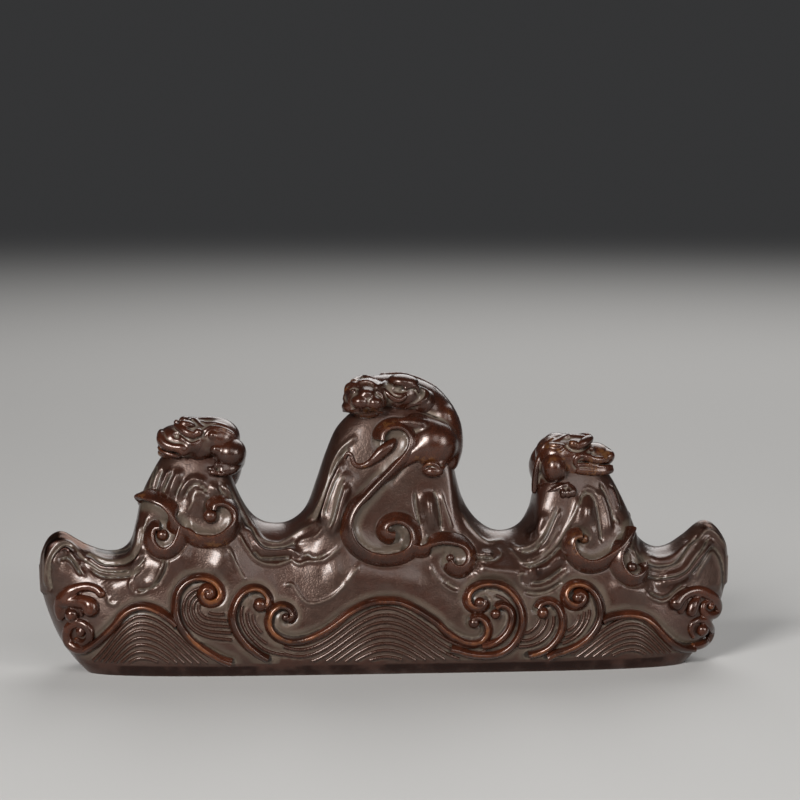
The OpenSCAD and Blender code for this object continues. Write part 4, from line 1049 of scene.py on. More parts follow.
# At the ridge and the tips the relief runs out, so that the outline stays the core's
below_ridge = smooth_step(ridge(flat[:, 0]) - flat[:, 2], 0.3, 2.5)
before_tip = smooth_step(TIP_EDGE - np.abs(flat[:, 0]), 0, 2)
height *= below_ridge * before_tip
shaped = flat + normals.reshape(-1, 3) * height[:, None]
shaped[:, 2] = np.where(flat[:, 2] <= 0, 0, np.maximum(shaped[:, 2], 0.02))
index = np.arange(len(flat)).reshape(grid.shape[:2])
quads = np.stack([index[:-1, :-1], index[1:, :-1], index[1:, 1:], index[:-1, 1:]], -1).reshape(-1, 4)
foot = np.stack([index[:-1, 0], index[:-1, -1], index[1:, -1], index[1:, 0]], -1)
mountain = new_piece("mountain_rock", shaped, np.concatenate([quads, foot]), lift, rock_bronze)
# The ends of the foot close. Above them front and back have rows of their own, which meet along
# both tips within 0.14 mm but share no points: those are the open edges that the last line counts.
cage = bmesh.new()
cage.from_mesh(mountain.data)
bmesh.ops.remove_doubles(cage, verts=cage.verts, dist=GROUND)
bmesh.ops.recalc_face_normals(cage, faces=cage.faces)
for polygon in cage.faces:
    polygon.smooth = polygon.calc_center_median().z > GROUND
cage.to_mesh(mountain.data)
open_edges = sum(len(e.link_faces) != 2 for e in cage.edges)
cage.free()
finished(mountain, "rock_bronze", "mountain", "back_folds", "left_lobe_folds", "left_peak_folds",
         "left_valley_folds", "centre_peak_folds", "right_valley_folds", "right_peak_folds",
         "right_lobe_folds")
print("mountain:", len(mountain.data.polygons), "faces,", open_edges, "open edges")

# %% [markdown]
# ## Cords of wax
# A wave crest, a water line and a dragon's tail are each a cord of wax, rolled out and pressed on.
# Curve to Mesh sweeps one cross section along such lines, so Geometry Nodes suit them: one tree
# makes them all, with the section, width and height as its inputs. Each point of a line carries
# its size, the way out of the face, and how far the foot of the cord sways to the outer side.

# %% The tree that rolls a cord
def make_cord_tree():
    """Node tree that sweeps a cross section along lines and gives the cord its lift."""
    tree = bpy.data.node_groups.new("wax cord", "GeometryNodeTree")
    for name, kind in (("Geometry", "NodeSocketGeometry"), ("Section", "NodeSocketObject"),
                       ("Width", "NodeSocketFloat"), ("Height", "NodeSocketFloat"),
                       ("Sway", "NodeSocketFloat"), ("Material", "NodeSocketMaterial")):
        tree.interface.new_socket(name=name, in_out="INPUT", socket_type=kind)
    tree.interface.new_socket(name="Geometry", in_out="OUTPUT", socket_type="NodeSocketGeometry")
    given = tree.nodes.new("NodeGroupInput").outputs
    result = tree.nodes.new("NodeGroupOutput").inputs

    def stored(name, kind):
        return node(tree, "GeometryNodeInputNamedAttribute", {"Name": name}, data_type=kind).outputs[0]

    line = node(tree, "GeometryNodeMeshToCurve", {"Mesh": given["Geometry"]}).outputs[0]
    line = node(tree, "GeometryNodeSetCurveRadius",
                {"Curve": line, "Radius": stored("taper", "FLOAT")}).outputs[0]
    line = node(tree, "GeometryNodeSetCurveNormal",
                {"Curve": line, "Normal": stored("outward", "FLOAT_VECTOR")}, mode="FREE").outputs[0]
    section = node(tree, "GeometryNodeObjectInfo", {"Object": given["Section"]}).outputs["Geometry"]
    section = node(tree, "GeometryNodeMeshToCurve", {"Mesh": section}).outputs[0]
    place = tree.nodes.new("GeometryNodeInputPosition").outputs[0]
    up = node(tree, "ShaderNodeSeparateXYZ", {0: place}).outputs["X"]
    section = node(tree, "GeometryNodeStoreNamedAttribute",
                   {"Geometry": section, "Name": "lift", "Value": up}, data_type="FLOAT").outputs[0]
    scale = node(tree, "ShaderNodeCombineXYZ", {0: given["Height"], 1: given["Width"]}).outputs[0]
    sized = node(tree, "ShaderNodeVectorMath", {0: place, 1: scale}, operation="MULTIPLY").outputs[0]
    section = node(tree, "GeometryNodeSetPosition", {"Geometry": section, "Position": sized}).outputs[0]
    cord = node(tree, "GeometryNodeCurveToMesh",
                {"Curve": line, "Profile Curve": section, "Fill Caps": True}).outputs[0]
    low = math_node(tree, "SUBTRACT", 1.0, stored("lift", "FLOAT"))
    low = math_node(tree, "MULTIPLY", math_node(tree, "MULTIPLY", low, given["Sway"]), given["Width"])
    lean = node(tree, "ShaderNodeVectorMath", {0: stored("sway", "FLOAT_VECTOR"), "Scale": low},
                operation="SCALE").outputs[0]
    cord = node(tree, "GeometryNodeSetPosition", {"Geometry": cord, "Offset": lean}).outputs[0]
    cord = node(tree, "GeometryNodeSetShadeSmooth", {"Geometry": cord}).outputs[0]
    cord = node(tree, "GeometryNodeRealizeInstances", {0: cord}).outputs[0]
    cord = node(tree, "GeometryNodeSetMaterial",
                {"Geometry": cord, "Material": given["Material"]}).outputs[0]
    tree.links.new(cord, result[0])
    return tree


cord_tree = make_cord_tree()
cord_inputs = {s.name: s.identifier for s in cord_tree.interface.items_tree if s.in_out == "INPUT"}
print("cord inputs:", list(cord_inputs))

# %% Cross sections: height over the face, place across
SECTIONS = {
    "round": [(-0.3, -0.56), (0.08, -0.5), (0.42, -0.42), (0.74, -0.28), (0.94, -0.12), (1, 0.02),
              (0.92, 0.16), (0.7, 0.3), (0.38, 0.42), (0.06, 0.5), (-0.3, 0.56)],
    "ripple": [(-0.5, -0.5), (0.0, -0.48), (0.36, -0.41), (0.68, -0.3), (0.91, -0.15), (1, 0),
               (0.91, 0.15), (0.68, 0.3), (0.36, 0.41), (0.0, 0.48), (-0.5, 0.5)],
    "lip": [(-0.3, -0.6), (0.1, -0.52), (0.5, -0.42), (0.82, -0.26), (0.97, -0.1), (1, 0),
            (0.97, 0.1), (0.82, 0.26), (0.5, 0.42), (0.1, 0.52), (-0.3, 0.6)],
}


def section_object(name, points):
    """A closed ring of edges, for the tree to sweep."""
    mesh = bpy.data.meshes.new(name)
    ring = [(i, (i + 1) % len(points)) for i in range(len(points))]
    mesh.from_pydata([(x, y, 0) for x, y in points], ring, [])
    return bpy.data.objects.new(name, mesh)


sections = {name: section_object(name, points) for name, points in SECTIONS.items()}
print("cross sections:", list(sections))

# %% Roll a cord along its lines
WORN_SIZE, WORN_SPAN, WORN_TOP = 1.5, 0.3, 1.3


def cord_path(name, strands, height, limit):
    """An object with the lines of (line, sizes) strands, and what the tree reads at their points."""
    verts, edges, taper, out, side = [], [], [], [], []
    for line, size in strands:
        first = len(verts)
        points = on_face(line, np.minimum(limit - size * height, 0))
        away = outward(line[:, 0], line[:, 1])
        across = unit(np.cross(np.gradient(points, axis=0), away))
        verts += list(points * MM)
        edges += [(first + i, first + i + 1) for i in range(len(points) - 1)]
        taper += list(size)
        out += list(away)
        side += list(across * (bend_of(line) * size)[:, None])
    mesh = bpy.data.meshes.new(name)
    mesh.from_pydata(verts, edges, [])
    mesh.attributes.new("taper", "FLOAT", "POINT").data.foreach_set("value", np.array(taper, np.float32))
    for key, value in (("outward", out), ("sway", side)):
        attribute = mesh.attributes.new(key, "FLOAT_VECTOR", "POINT")
        attribute.data.foreach_set("vector", np.array(value, np.float32).ravel())
    path = bpy.data.objects.new(name + "_path", mesh)
    bpy.context.scene.collection.objects.link(path)
    return path


def rolled(name, strands, section, width, height, sway, material, limit=9.0, low=0.0, wear=0.0):
    """Cords along strands of (line, sizes), as one plain mesh.

    A cord never stands up past limit. Low is the lift at its foot, and wear is how much more
    lift its thick stretches get.
    """
    path = cord_path(name, strands, height, limit)
    roll = path.modifiers.new("roll", "NODES")
    roll.node_group = cord_tree
    for key, value in (("Section", sections[section]), ("Width", width * MM), ("Height", height * MM),
                       ("Sway", sway), ("Material", material)):
        roll[cord_inputs[key]] = value
    plain = bpy.data.meshes.new_from_object(
        path.evaluated_get(bpy.context.evaluated_depsgraph_get()))
    bpy.data.objects.remove(path)
    cage = bmesh.new()
    cage.from_mesh(plain)
    bmesh.ops.triangulate(cage, faces=[f for f in cage.faces if len(f.verts) > 4])
    bmesh.ops.recalc_face_normals(cage, faces=cage.faces)
    for polygon in cage.faces:
        polygon.smooth = True
    cage.to_mesh(plain)
    cage.free()
    plain.name = name
    lift, taper = values_of(plain, "lift"), values_of(plain, "taper")
    # Where low is 0 the foot keeps a lift near 0, which the patina paints nearly black: painted shade where
    # the cord meets the rock
    lift = low + (1 - low) * lift
    worn = np.clip(taper - 1, 0, WORN_SPAN) * (taper < WORN_SIZE)
    give_lift(plain, lift + wear * worn, WORN_TOP)
    for key in ("taper", "outward", "sway"):
        if key in plain.attributes:
            plain.attributes.remove(plain.attributes[key])
    piece = bpy.data.objects.new(name, plain)
    bpy.context.scene.collection.objects.link(piece)
    return piece


def mirrored(piece, name):
    """A copy on the back face."""
    mesh = piece.data.copy()
    mesh.transform(Matrix.Diagonal((1, -1, 1, 1)))
    mesh.flip_normals()
    copy = bpy.data.objects.new(name, mesh)
    bpy.context.scene.collection.objects.link(copy)
    return copy


print("points of a cord lie", STEP, "mm apart")

# %% Roll the crests, the ribs of water and the tails
CREST_W, CREST_H, CREST_LIMIT = 2.15, 1.6, 1.75
RIPPLE_H, GROOVE_W = 0.55, 0.3
TAIL_W, TAIL_H = 2.7, 2.3
TAIL_FOOT_LIFT = 0.42
CREST_WEAR = 0.8


def with_knobs(piece, knobs):
    """Adds knobs of wax to a cord: rounded lumps that sit on the face."""
    cage = bmesh.new()
    cage.from_mesh(piece.data)
    lift = cage.verts.layers.float["lift"]
    for u, v, radius in knobs:
        path = carried_back([(u, v)])
        middle = on_face(path, 0.25 * radius)[0]
        away = Vector(outward(path[:, 0], path[:, 1])[0])
        lump = bmesh.ops.create_icosphere(cage, subdivisions=4, radius=radius * MM)["verts"]
        for vert in lump:
            # A knob's lift falls to 0 where it faces the rock, so the patina paints shade where it sits
            vert[lift] = 0.5 + 0.5 * vert.co.normalized().dot(away)
            vert.co += Vector(middle * MM)
        for polygon in {f for vert in lump for f in vert.link_faces}:
            polygon.smooth = True
    cage.to_mesh(piece.data)
    cage.free()
    return piece


def sized(strands):
    """Strands with a size for every point of their line."""
    return [(line, girth(len(line), sizes)) for line, sizes in strands]


crests = {}
for name, strands in crest_lines.items():
    cord = rolled(name + "_cord", sized(strands), "round", CREST_W, CREST_H, 0.2, wave_bronze,
                  CREST_LIMIT, wear=CREST_WEAR)
    crests[name] = finished(with_knobs(cord, KNOBS.get(name, ())), "wave_bronze", name)
rib_strands = {name: [(line, girth(len(line), [1]) * np.clip(width - GROOVE_W, 0.3, 2))
                      for line, width in ribs] for name, ribs in RIBS.items()}
for name, strands in rib_strands.items():
    ribs = rolled(name + "_ribs", strands, "ripple", 1.0, RIPPLE_H, 0.0, line_bronze)
    finished(ribs, "line_bronze", name)
tails = {}
for name, strands in tail_lines.items():
    cord = rolled(name + "_cord", sized(strands), "lip", TAIL_W, TAIL_H, 0.5, dragon_bronze,
                  low=TAIL_FOOT_LIFT)
    tails[name] = finished(with_knobs(cord, BALLS[name]), "dragon_bronze", name)
print("faces of the cords:", {name: len(p.data.polygons) for name, p in (crests | tails).items()})

# %% The same waves on the back
for front, crest in crests.items():
    back = "back_" + front.removesuffix("_crest").replace("centre_", "")
    finished(mirrored(crest, back + "_cord"), "wave_bronze", back)
every_rib = [strand for strands in rib_strands.values() for strand in strands]
pattern = rolled("back_ribs_pattern", every_rib, "ripple", 1.0, RIPPLE_H, 0.0, line_bronze)
finished(mirrored(pattern, "back_water_ribs"), "line_bronze", "back_water_lines")
bpy.data.objects.remove(pattern)
print("ribs on the back:", len(every_rib))

# %% [markdown]
# ## Clay for the dragons
# The dragons are the free modelling on this casting: soft balls and rolls pressed into each other,
# with a few sharp tool marks. A field of distances does the same. Every form is a distance, forms
# are joined with a soft minimum, and a tool mark is a soft cut. A net laid over the zero level
# turns the field into a closed mesh. Boxes and loops would need a hand-made cage for each head.

# %% A lump of clay
FAR = 9.0         # mm, the distance that empty parts of the grid start with
ROPE_STEPS = 4    # between two given points of a rope


class Clay:
    """Distances to a surface on a grid. Points are given as the eye sees them, with a depth y."""

    def __init__(self, low, high, grain, middle=None):
        """An empty grid between two corners. Forms off its middle plane get a twin beyond it."""
        self.axes = [np.arange(a, b, grain) for a, b in zip(low, high)]
        self.field = np.full([len(axis) for axis in self.axes], FAR)
        self.grain, self.middle = grain, middle

    def reach(self, low, high, blend):
        """The part of the grid that a form between two corners can change."""
        spare = blend + 3 * self.grain
        return tuple(slice(*np.searchsorted(axis, (a - spare, b + spare)))
                     for axis, a, b in zip(self.axes, low, high))

    def points(self, where):
        """The points of this part of the grid."""
        return np.stack(np.meshgrid(*[a[s] for a, s in zip(self.axes, where)], indexing="ij"), -1)

    def join(self, where, distance, blend, cut):
        """Softly adds a form to this part of the grid, or cuts it away."""
        old = self.field[where]
        sign = -1 if cut else 1
        distance = sign * distance
        h = np.clip(0.5 + sign * 0.5 * (distance - old) / blend, 0, 1)
        self.field[where] = distance * (1 - h) + old * h - sign * blend * h * (1 - h)

    def twins(self, line):
        """The line, and its mirror image where the lump has a middle plane."""
        yield line
        if self.middle is not None and np.abs(line[:, 1] - self.middle).max() > 0.4:
            other = line.copy()
            other[:, 1] = 2 * self.middle - other[:, 1]
            yield other

    def egg_at(self, centre, radii, blend=0.8, tilt=0.0, cut=False):
        """An egg with half sizes along X, Y and Z, tilted about Y."""
        radii = np.asarray(radii, float)
        for line in self.twins(np.asarray([centre], float)):
            where = self.reach(line[0] - radii.max(), line[0] + radii.max(), blend)
            spin = np.array(Matrix.Rotation(math.radians(tilt), 3, "Y"))
            q = (self.points(where) - line[0]) @ spin
            near, far = np.linalg.norm(q / radii, axis=-1), np.linalg.norm(q / radii ** 2, axis=-1)
            self.join(where, near * (near - 1) / np.maximum(far, 1e-6), blend, cut)

    def egg(self, u, v, y, radii, blend=0.8, tilt=0.0, cut=False):
        """An egg whose middle the eye sees at u across and v up, at depth y."""
        self.egg_at(spot(u, v, y), radii, blend, tilt, cut)

    def rope_at(self, line, blend=0.5, cut=False):
        """A rope through x, y, z points, each with its radius."""
        for twin in self.twins(np.asarray(line, float)):
            size = twin[:, 3:].max()
            where = self.reach(twin[:, :3].min(0) - size, twin[:, :3].max(0) + size, blend)
            p = self.points(where)
            best = np.full(p.shape[:-1], FAR)
            for a, b in zip(twin[:-1], twin[1:]):
                ab = b[:3] - a[:3]
                t = np.clip((p - a[:3]) @ ab / max(ab @ ab, 1e-9), 0, 1)
                gap = np.linalg.norm(p - a[:3] - t[..., None] * ab, axis=-1)
                best = np.minimum(best, gap - a[3] - t * (b[3] - a[3]))
            self.join(where, best, blend, cut)

    def rope(self, points, blend=0.5):
        """A rope through points as the eye sees them, with depth y and radius."""
        q = curve(points, ROPE_STEPS)
        self.rope_at(np.column_stack([spot(q[:, 0], q[:, 1], q[:, 2]), q[:, 3]]), blend)

    def depth(self, u, v):
        """Depth at which the line of sight meets the clay, or comes nearest to it."""
        ys = self.axes[1]
        p = spot(np.asarray(u)[:, None], np.asarray(v)[:, None], ys[None, :])
        at = [np.clip(np.round((p[..., k] - self.axes[k][0]) / self.grain).astype(int), 0,
                      len(self.axes[k]) - 1) for k in range(3)]
        values = self.field[at[0], at[1], at[2]]
        met = values < 0
        return np.where(met.any(1), ys[met.argmax(1)], ys[values.argmin(1)])

    def roll(self, points, blend=0.3, sink=0.2, cut=False):
        """A roll of clay laid on the surface along u, v points, each with its radius."""
        q = curve(points, ROPE_STEPS)
        y = self.depth(q[:, 0], q[:, 1])
        y = np.convolve(np.pad(y, 2, mode="edge"), np.ones(5) / 5, mode="valid")
        y = y + sink * q[:, 2]
        self.rope_at(np.column_stack([spot(q[:, 0], q[:, 1], y), q[:, 2]]), blend, cut)

    def groove(self, points):
        """A tool mark along u, v points, each with the radius of the tool."""
        self.roll(points, 0.2, 0, cut=True)

    def bead(self, u, v, radius, blend=0.2, sink=0.2):
        """A small ball set into the surface at u, v."""
        y = self.depth([u], [v])[0] + sink * radius
        self.egg(u, v, y, (radius,) * 3, blend)

    def skin(self):
        """Verts and faces of the net over the zero level."""
        f = self.field
        shape = np.array(f.shape)
        corner = {c: f[tuple(slice(o, n - 1 + o) for o, n in zip(c, shape))]
                  for c in np.ndindex(2, 2, 2)}
        full = sum((values < 0).astype(int) for values in corner.values())
        cells = np.argwhere((full > 0) & (full < 8))
        number = np.full(shape - 1, -1)
        number[tuple(cells.T)] = np.arange(len(cells))
        total, hits = np.zeros((len(cells), 3)), np.zeros((len(cells), 1))
        for a in corner:
            for axis in range(3):
                if a[axis]:
                    continue
                b = tuple(v + (k == axis) for k, v in enumerate(a))
                fa, fb = corner[a][tuple(cells.T)], corner[b][tuple(cells.T)]
                crossed = (fa < 0) != (fb < 0)
                place = np.tile(np.array(a, float), (len(cells), 1))
                place[:, axis] += np.where(crossed, fa / np.where(crossed, fa - fb, 1), 0)
                total += place * crossed[:, None]
                hits += crossed[:, None]
        verts = (cells + total / hits) * self.grain + [axis[0] for axis in self.axes]
        faces = []
        for axis in range(3):
            one, two = (axis + 1) % 3, (axis + 2) % 3
            low = np.take(f, range(1, shape[axis] - 1), axis) < 0
            high = np.take(f, range(2, shape[axis]), axis) < 0
            for inside, order in ((low & ~high, 1), (high & ~low, -1)):
                at = np.argwhere(inside)
                at[:, axis] += 1
                at = at[(at[:, one] > 0) & (at[:, two] > 0)]
                quad = []
                for d1, d2 in ((1, 1), (0, 1), (0, 0), (1, 0))[::order]:
                    c = at.copy()
                    c[:, one] -= d1
                    c[:, two] -= d2
                    quad.append(number[tuple(c.T)])
                faces.append(np.stack(quad, -1))
        return verts, np.concatenate(faces)


print("steps between two points of a rope:", ROPE_STEPS)

# %% Where the clay goes, and how a lump becomes a piece
SMOOTHINGS = 2       # rounds that take the steps of the grid out of the skin
LIFT_ROUNDS, LIFT_REACH = 24, 0.3


def spot(u, v, y):
    """The point at depth y that the eye sees at u across and v up."""
    u, v, y = np.broadcast_arrays(np.asarray(u, float), np.asarray(v, float), np.asarray(y, float))
    across = MIDDLE_PIXEL[0] + u / MM_PER_PIXEL - FRAME_PIXELS / 2
    up = FRAME_PIXELS / 2 - (FOOT_PIXEL - v / MM_PER_PIXEL)
    ray = ahead * focal + across[..., None] * rightward + up[..., None] * upward
    return eye + ray * ((y - eye[1]) / ray[..., 1])[..., None]


def behind(x, z, radius):
    """A point on the back face, sunk so that a roll of this radius rests on it."""
    return [x, float(face(np.array(x), np.array(z))) + 0.35 * radius, z, radius]


def moulded(name, clay, material, slot, *nodes):
    """Turns a lump of clay into a finished piece."""
    verts, faces = clay.skin()
    piece = new_piece(name, verts, faces, None, material)
    mesh = piece.data
    cage = bmesh.new()
    cage.from_mesh(mesh)
    for _ in range(SMOOTHINGS):
        bmesh.ops.smooth_vert(cage, verts=cage.verts, factor=0.5, use_axis_x=True, use_axis_y=True,
                              use_axis_z=True)
    cage.to_mesh(mesh)
    cage.free()
    mesh.update()
    # The deepest creases get a lift near 0, which the patina paints nearly black as shade
    give_lift(mesh, relief_of(mesh, LIFT_ROUNDS, LIFT_REACH))
    finished(piece, slot, *nodes)
    print(name, len(mesh.polygons), "faces")


print("the line of sight at 0, 0 passes through", np.round(spot(0, 0, 0), 1), "mm")

# %% [markdown]
# ## Clouds at the two ends
# Where the outer waves break against the ends they turn to cloud: fat commas of wax around a
# ball, over a ring. They are clay too, laid on the face along lines as the eye sees them.

# %% Ways to lay clay on the face
GRAIN, BODY_GRAIN = 0.22, 0.3   # mm between the points of the clay's grid, fine and for bodies
LAID_STEPS = 5


def laid(clay, points, blend=0.3, up=0.15, cut=False):
    """A roll of clay on the mountain's face through u, v points, each with its radius."""
    q = curve(points, LAID_STEPS)
    path = carried_back(q[:, :2])
    clay.rope_at(np.column_stack([on_face(path, up * q[:, 2]), q[:, 2]]), blend, cut)


def laid_ball(clay, u, v, radius, blend, up):
    """A ball of clay on the mountain's face at u, v."""
    clay.egg_at(on_face(carried_back([(u, v)]), up * radius)[0], (radius,) * 3, blend)


print("grain of the clay:", GRAIN, "mm, and for bodies", BODY_GRAIN, "mm")

# %% Left cloud
clay = Clay((-86, -16, 1), (-64, 8, 25), GRAIN)
laid(clay, [(-78.3, 12.4, 1.1), (-78.5, 14.4, 1.5), (-77.8, 16.5, 1.8), (-76, 18.2, 1.8),
            (-73.9, 19.2, 1.4), (-71.8, 19.5, 1.25), (-69.9, 19, 1.15), (-68.7, 17.9, 1.15)])
laid(clay, [(-77.4, 16.4, 1.9), (-74.8, 16.0, 1.7), (-72.8, 15.9, 1.8), (-71.4, 15.2, 2.05),
            (-71.1, 14.3, 2.05)])
laid(clay, [(-74.4, 17.8, 0.35), (-72.6, 18.2, 0.5), (-70.6, 17.8, 0.35)], 0.3, 1.6, cut=True)
laid(clay, [(-77.6, 12.6, 0.6), (-77.3, 14.1, 0.65), (-76.2, 14.9, 0.65), (-74.8, 14.8, 0.65),
            (-73.7, 13.9, 0.6), (-73.3, 12.7, 0.5)], 0.15, 0.5)
laid_ball(clay, -75.5, 13.0, 1.75, 0.12, 0.35)
laid(clay, [(-72.6, 4.4, 1.0), (-74.4, 4.7, 1.2), (-76.2, 6.1, 1.35), (-76.8, 8.2, 1.3),
            (-76.1, 10.1, 1.2), (-74.2, 10.9, 1.15), (-72.4, 10.3, 1.1), (-71.3, 8.7, 1.05),
            (-71.6, 7, 1.0), (-73, 6.1, 0.9), (-74.6, 6.9, 0.7)])
laid_ball(clay, -73.6, 8.7, 1.3, 0.15, -0.1)
moulded("left_cloud", clay, wave_bronze, "wave_bronze", "left_end_cloud")

# %% Right cloud
clay = Clay((63, -16, 1), (86, 8, 25), GRAIN)
laid(clay, [(69.6, 15.6, 1.8), (70.8, 17.1, 1.6), (72.6, 18.2, 1.4), (74.8, 18.6, 1.35), (77, 18, 1.4),
            (78.8, 16.7, 1.35), (79.6, 14.9, 1.2), (79, 13.1, 1.1), (77.3, 12.7, 1.05),
            (76, 13.9, 1.0), (76.2, 15.4, 0.8), (77.4, 16, 0.6)])
laid_ball(clay, 77.9, 14.9, 0.9, 0.15, 0.3)
laid(clay, [(74.6, 16.6, 1.0), (73.8, 15.2, 1.4), (73.3, 13.7, 1.4)])
laid(clay, [(71.6, 16.4, 0.9), (71.2, 15, 1.1), (70.8, 13.8, 0.9)])
laid(clay, [(73.6, 5.2, 0.95), (75.6, 5.7, 1.05), (77.4, 7, 1.05), (78.1, 9, 1.0), (77.2, 11, 0.95),
            (75.6, 11.7, 0.9), (73.9, 11, 0.85), (73.2, 9.2, 0.75), (73.8, 7.6, 0.6)])
laid_ball(clay, 75.7, 9.3, 1.55, 0.12, 0.3)
moulded("right_cloud", clay, wave_bronze, "wave_bronze", "right_end_cloud")

# %% [markdown]
# ## The left dragon
# It lies along the top of its peak and looks out to the left: a blunt snout with a rolled upper
# lip, a strap of brow that ends in a knob, a leaf ear, a swept-back mane and a big round
# shoulder. One paw rests on the rock below the shoulder.

# %% Head of the left dragon
clay = Clay((-58, -10, 47), (-33, 8, 64), GRAIN, middle=-1.4)
m = clay.middle
clay.egg(-46.6, 55.0, m, (6.4, 5.6, 4.7))
clay.egg(-51.2, 55.2, m, (3.7, 4.4, 3.3))
clay.egg(-53.3, 54.8, m, (1.9, 3.4, 2.5), 0.6)
clay.egg(-50.8, 51.9, m, (4.3, 3.6, 1.7), 0.4)
clay.egg(-45.0, 52.6, m, (4.6, 4.9, 3.4), 1.2)
clay.egg(-40.6, 55.6, m + 0.6, (5.0, 5.0, 4.3), 1.2)
clay.rope([(-47.5, 59.0, m, 1.1), (-43, 59.3, m, 1.3), (-39.6, 58.6, m, 1.4),
           (-37.2, 56.6, m, 1.2)], 0.6)
# Mouth: a slit under a fat upper lip that ends in a ball at the corner
clay.groove([(-55.6, 52.9, 0.3), (-53.4, 52.3, 0.35), (-51.4, 51.9, 0.35), (-50, 51.6, 0.3)])
clay.rope([(-54.2, 56.2, -3.2, 0.95), (-54.2, 55.2, -4.0, 1.25), (-53.6, 54.2, -4.8, 1.3),
           (-52.5, 53.5, -5.6, 1.15), (-51, 53.1, -6.1, 1.05), (-49.6, 53, -6.4, 1.1)], 0.25)
clay.egg(-48.9, 52.3, -6.3, (1.35, 1.35, 1.35), 0.4)
clay.rope([(-54.9, 53.1, -3.2, 0.35), (-54.3, 52.3, -4.2, 0.45), (-52.9, 51.7, -5.0, 0.5),
           (-51.2, 51.2, -5.4, 0.5), (-50, 51, -5.5, 0.4)], 0.2)
# Nostril pit, cheek, brow strap with its knob
clay.egg(-50.9, 56.0, -6.3, (1.2, 1.2, 0.9), 0.3, tilt=30, cut=True)
clay.bead(-47.0, 53.6, 1.8, 1.2, 0.75)
clay.groove([(-50.0, 56.9, 0.3), (-48.6, 55.7, 0.4), (-47, 54.8, 0.4), (-45.2, 55.3, 0.35)])
clay.rope([(-50.6, 58.4, -4.2, 0.75), (-49.3, 57.5, -5.7, 1.0), (-47.9, 56.6, -6.6, 1.05),
           (-46.5, 56.1, -6.9, 0.95)], 0.2)
clay.egg(-45.3, 56.7, -6.7, (1.15, 1.1, 1.1), 0.2)
clay.egg(-48.0, 58.8, -4.9, (1.9, 1.3, 0.9), 0.4, tilt=12)
# Mane strands swept back from the brow
for strand in ([(-47.6, 60.1, 0.45), (-46.2, 59.8, 0.55), (-45.2, 58.8, 0.55), (-44.3, 58.1, 0.4)],
               [(-44.8, 59.3, 0.45), (-43.4, 58.9, 0.5), (-41.2, 58.9, 0.45), (-38.8, 58.3, 0.4)],
               [(-43.9, 57, 0.45), (-42.4, 57.9, 0.55), (-40.4, 57.8, 0.55), (-38.4, 57.1, 0.5),
                (-36.8, 56.2, 0.4)]):
    clay.roll(strand, 0.22, 0.1)
# Ear: a leaf with a hollow
clay.bead(-41.9, 56.0, 1.2, 0.3, 0.35)
clay.roll([(-43.6, 55.9, 0.4), (-43, 56.8, 0.45), (-42, 57.4, 0.45), (-40.4, 57.5, 0.35)], 0.15, 0)
moulded("left_head", clay, dragon_bronze, "dragon_bronze", "left_dragon_head")

# %% Body of the left dragon
clay = Clay((-66, -11, 30), (-29, 17, 61), BODY_GRAIN)
spine = [(-40.6, 0.4, 53.5, 4.2), (-38.4, 3.4, 50.6, 4.1), behind(-40, 44, 4.2), behind(-47, 39.4, 4.2),
         behind(-53, 38.4, 3.2), (-57.6, 3.6, 39.6, 1.9), (-58.2, 0.6, 39.4, 1.2)]
clay.rope_at(curve(spine, 5), 0.8)
clay.egg(-37.8, 51.8, -3.9, (4.0, 4.4, 3.8), 0.3)
clay.egg(-41.1, 52.7, -5.6, (1.6, 2.0, 1.6), 0.6)
clay.egg(-37.0, 50.4, -1.2, (3.0, 4.4, 3.2), 0.8)
# Haunch and hind foot on the back
clay.egg_at((-49, 13.0, 40.5), (4.6, 3.4, 4.4), 0.8)
clay.rope_at(curve([(-50, 14, 37.6, 1.7), (-47, 14.4, 35.6, 1.5), (-44.2, 14, 35.4, 1.3)], 3), 0.5)
for k in range(3):
    clay.egg_at((-43.4, 13.6, 34.5 + 0.9 * k), (1.2, 0.9, 0.6), 0.15)
# Spine ridge
ridge_back = curve([(-41, 3.6, 56.4, 0.5), (-37.4, 7.4, 52, 0.6), (-38, 12, 46, 0.6),
                    (-44, 14.6, 42, 0.6), (-50, 14.4, 41, 0.5), (-54.5, 9, 41.2, 0.4)], 5)
clay.rope_at(ridge_back, 0.3)
moulded("left_body", clay, dragon_bronze, "dragon_bronze", "left_dragon_body")

# %% Paw of the left dragon
clay = Clay((-46, -13, 43), (-32, -1, 53), GRAIN)
clay.rope([(-36.4, 49.0, -4.2, 1.6), (-37.4, 48.0, -5.8, 1.5), (-39.4, 47.5, -6.6, 1.35)], 0.5)
clay.rope([(-36.8, 48.6, -5.5, 0.9), (-38.6, 48.7, -6.5, 0.9), (-40.8, 48.9, -6.8, 0.8)], 0.4)
for u, v in ((-42.2, 48), (-41.6, 47.1), (-40, 46.9)):
    clay.egg(u, v, -7.3, (1.25, 1.1, 0.62), 0.12, tilt=12)
moulded("left_paw", clay, dragon_bronze, "dragon_bronze", "left_dragon_paw")

# %% [markdown]
# ## The right dragon
# Its twin on the right peak, a little lower, looks out to the right. The mane falls down the back
# edge of the peak, and the shoulder stands clear of it.

# %% Head of the right dragon
clay = Clay((33, -10, 43), (58, 8, 60), GRAIN, middle=-1.4)
m = clay.middle
clay.egg(44.8, 51.4, m, (5.6, 5.4, 4.3))
clay.egg(50.0, 51.2, m, (3.9, 4.4, 3.2))
clay.egg(52.8, 51.0, m, (2.0, 3.4, 2.1), 0.6)
clay.egg(49.8, 48.0, m, (4.5, 4.0, 1.6), 0.3)
clay.egg(44.5, 48.4, m, (4.0, 4.8, 3.2), 1.2)
clay.egg(40.2, 51.6, m + 0.6, (4.2, 5.0, 4.0), 1.2)
clay.rope([(47.4, 55.2, m, 1.0), (43.4, 55.2, m, 1.3), (39.6, 54.6, m, 1.3), (37.2, 52.6, m, 1.1)], 0.6)
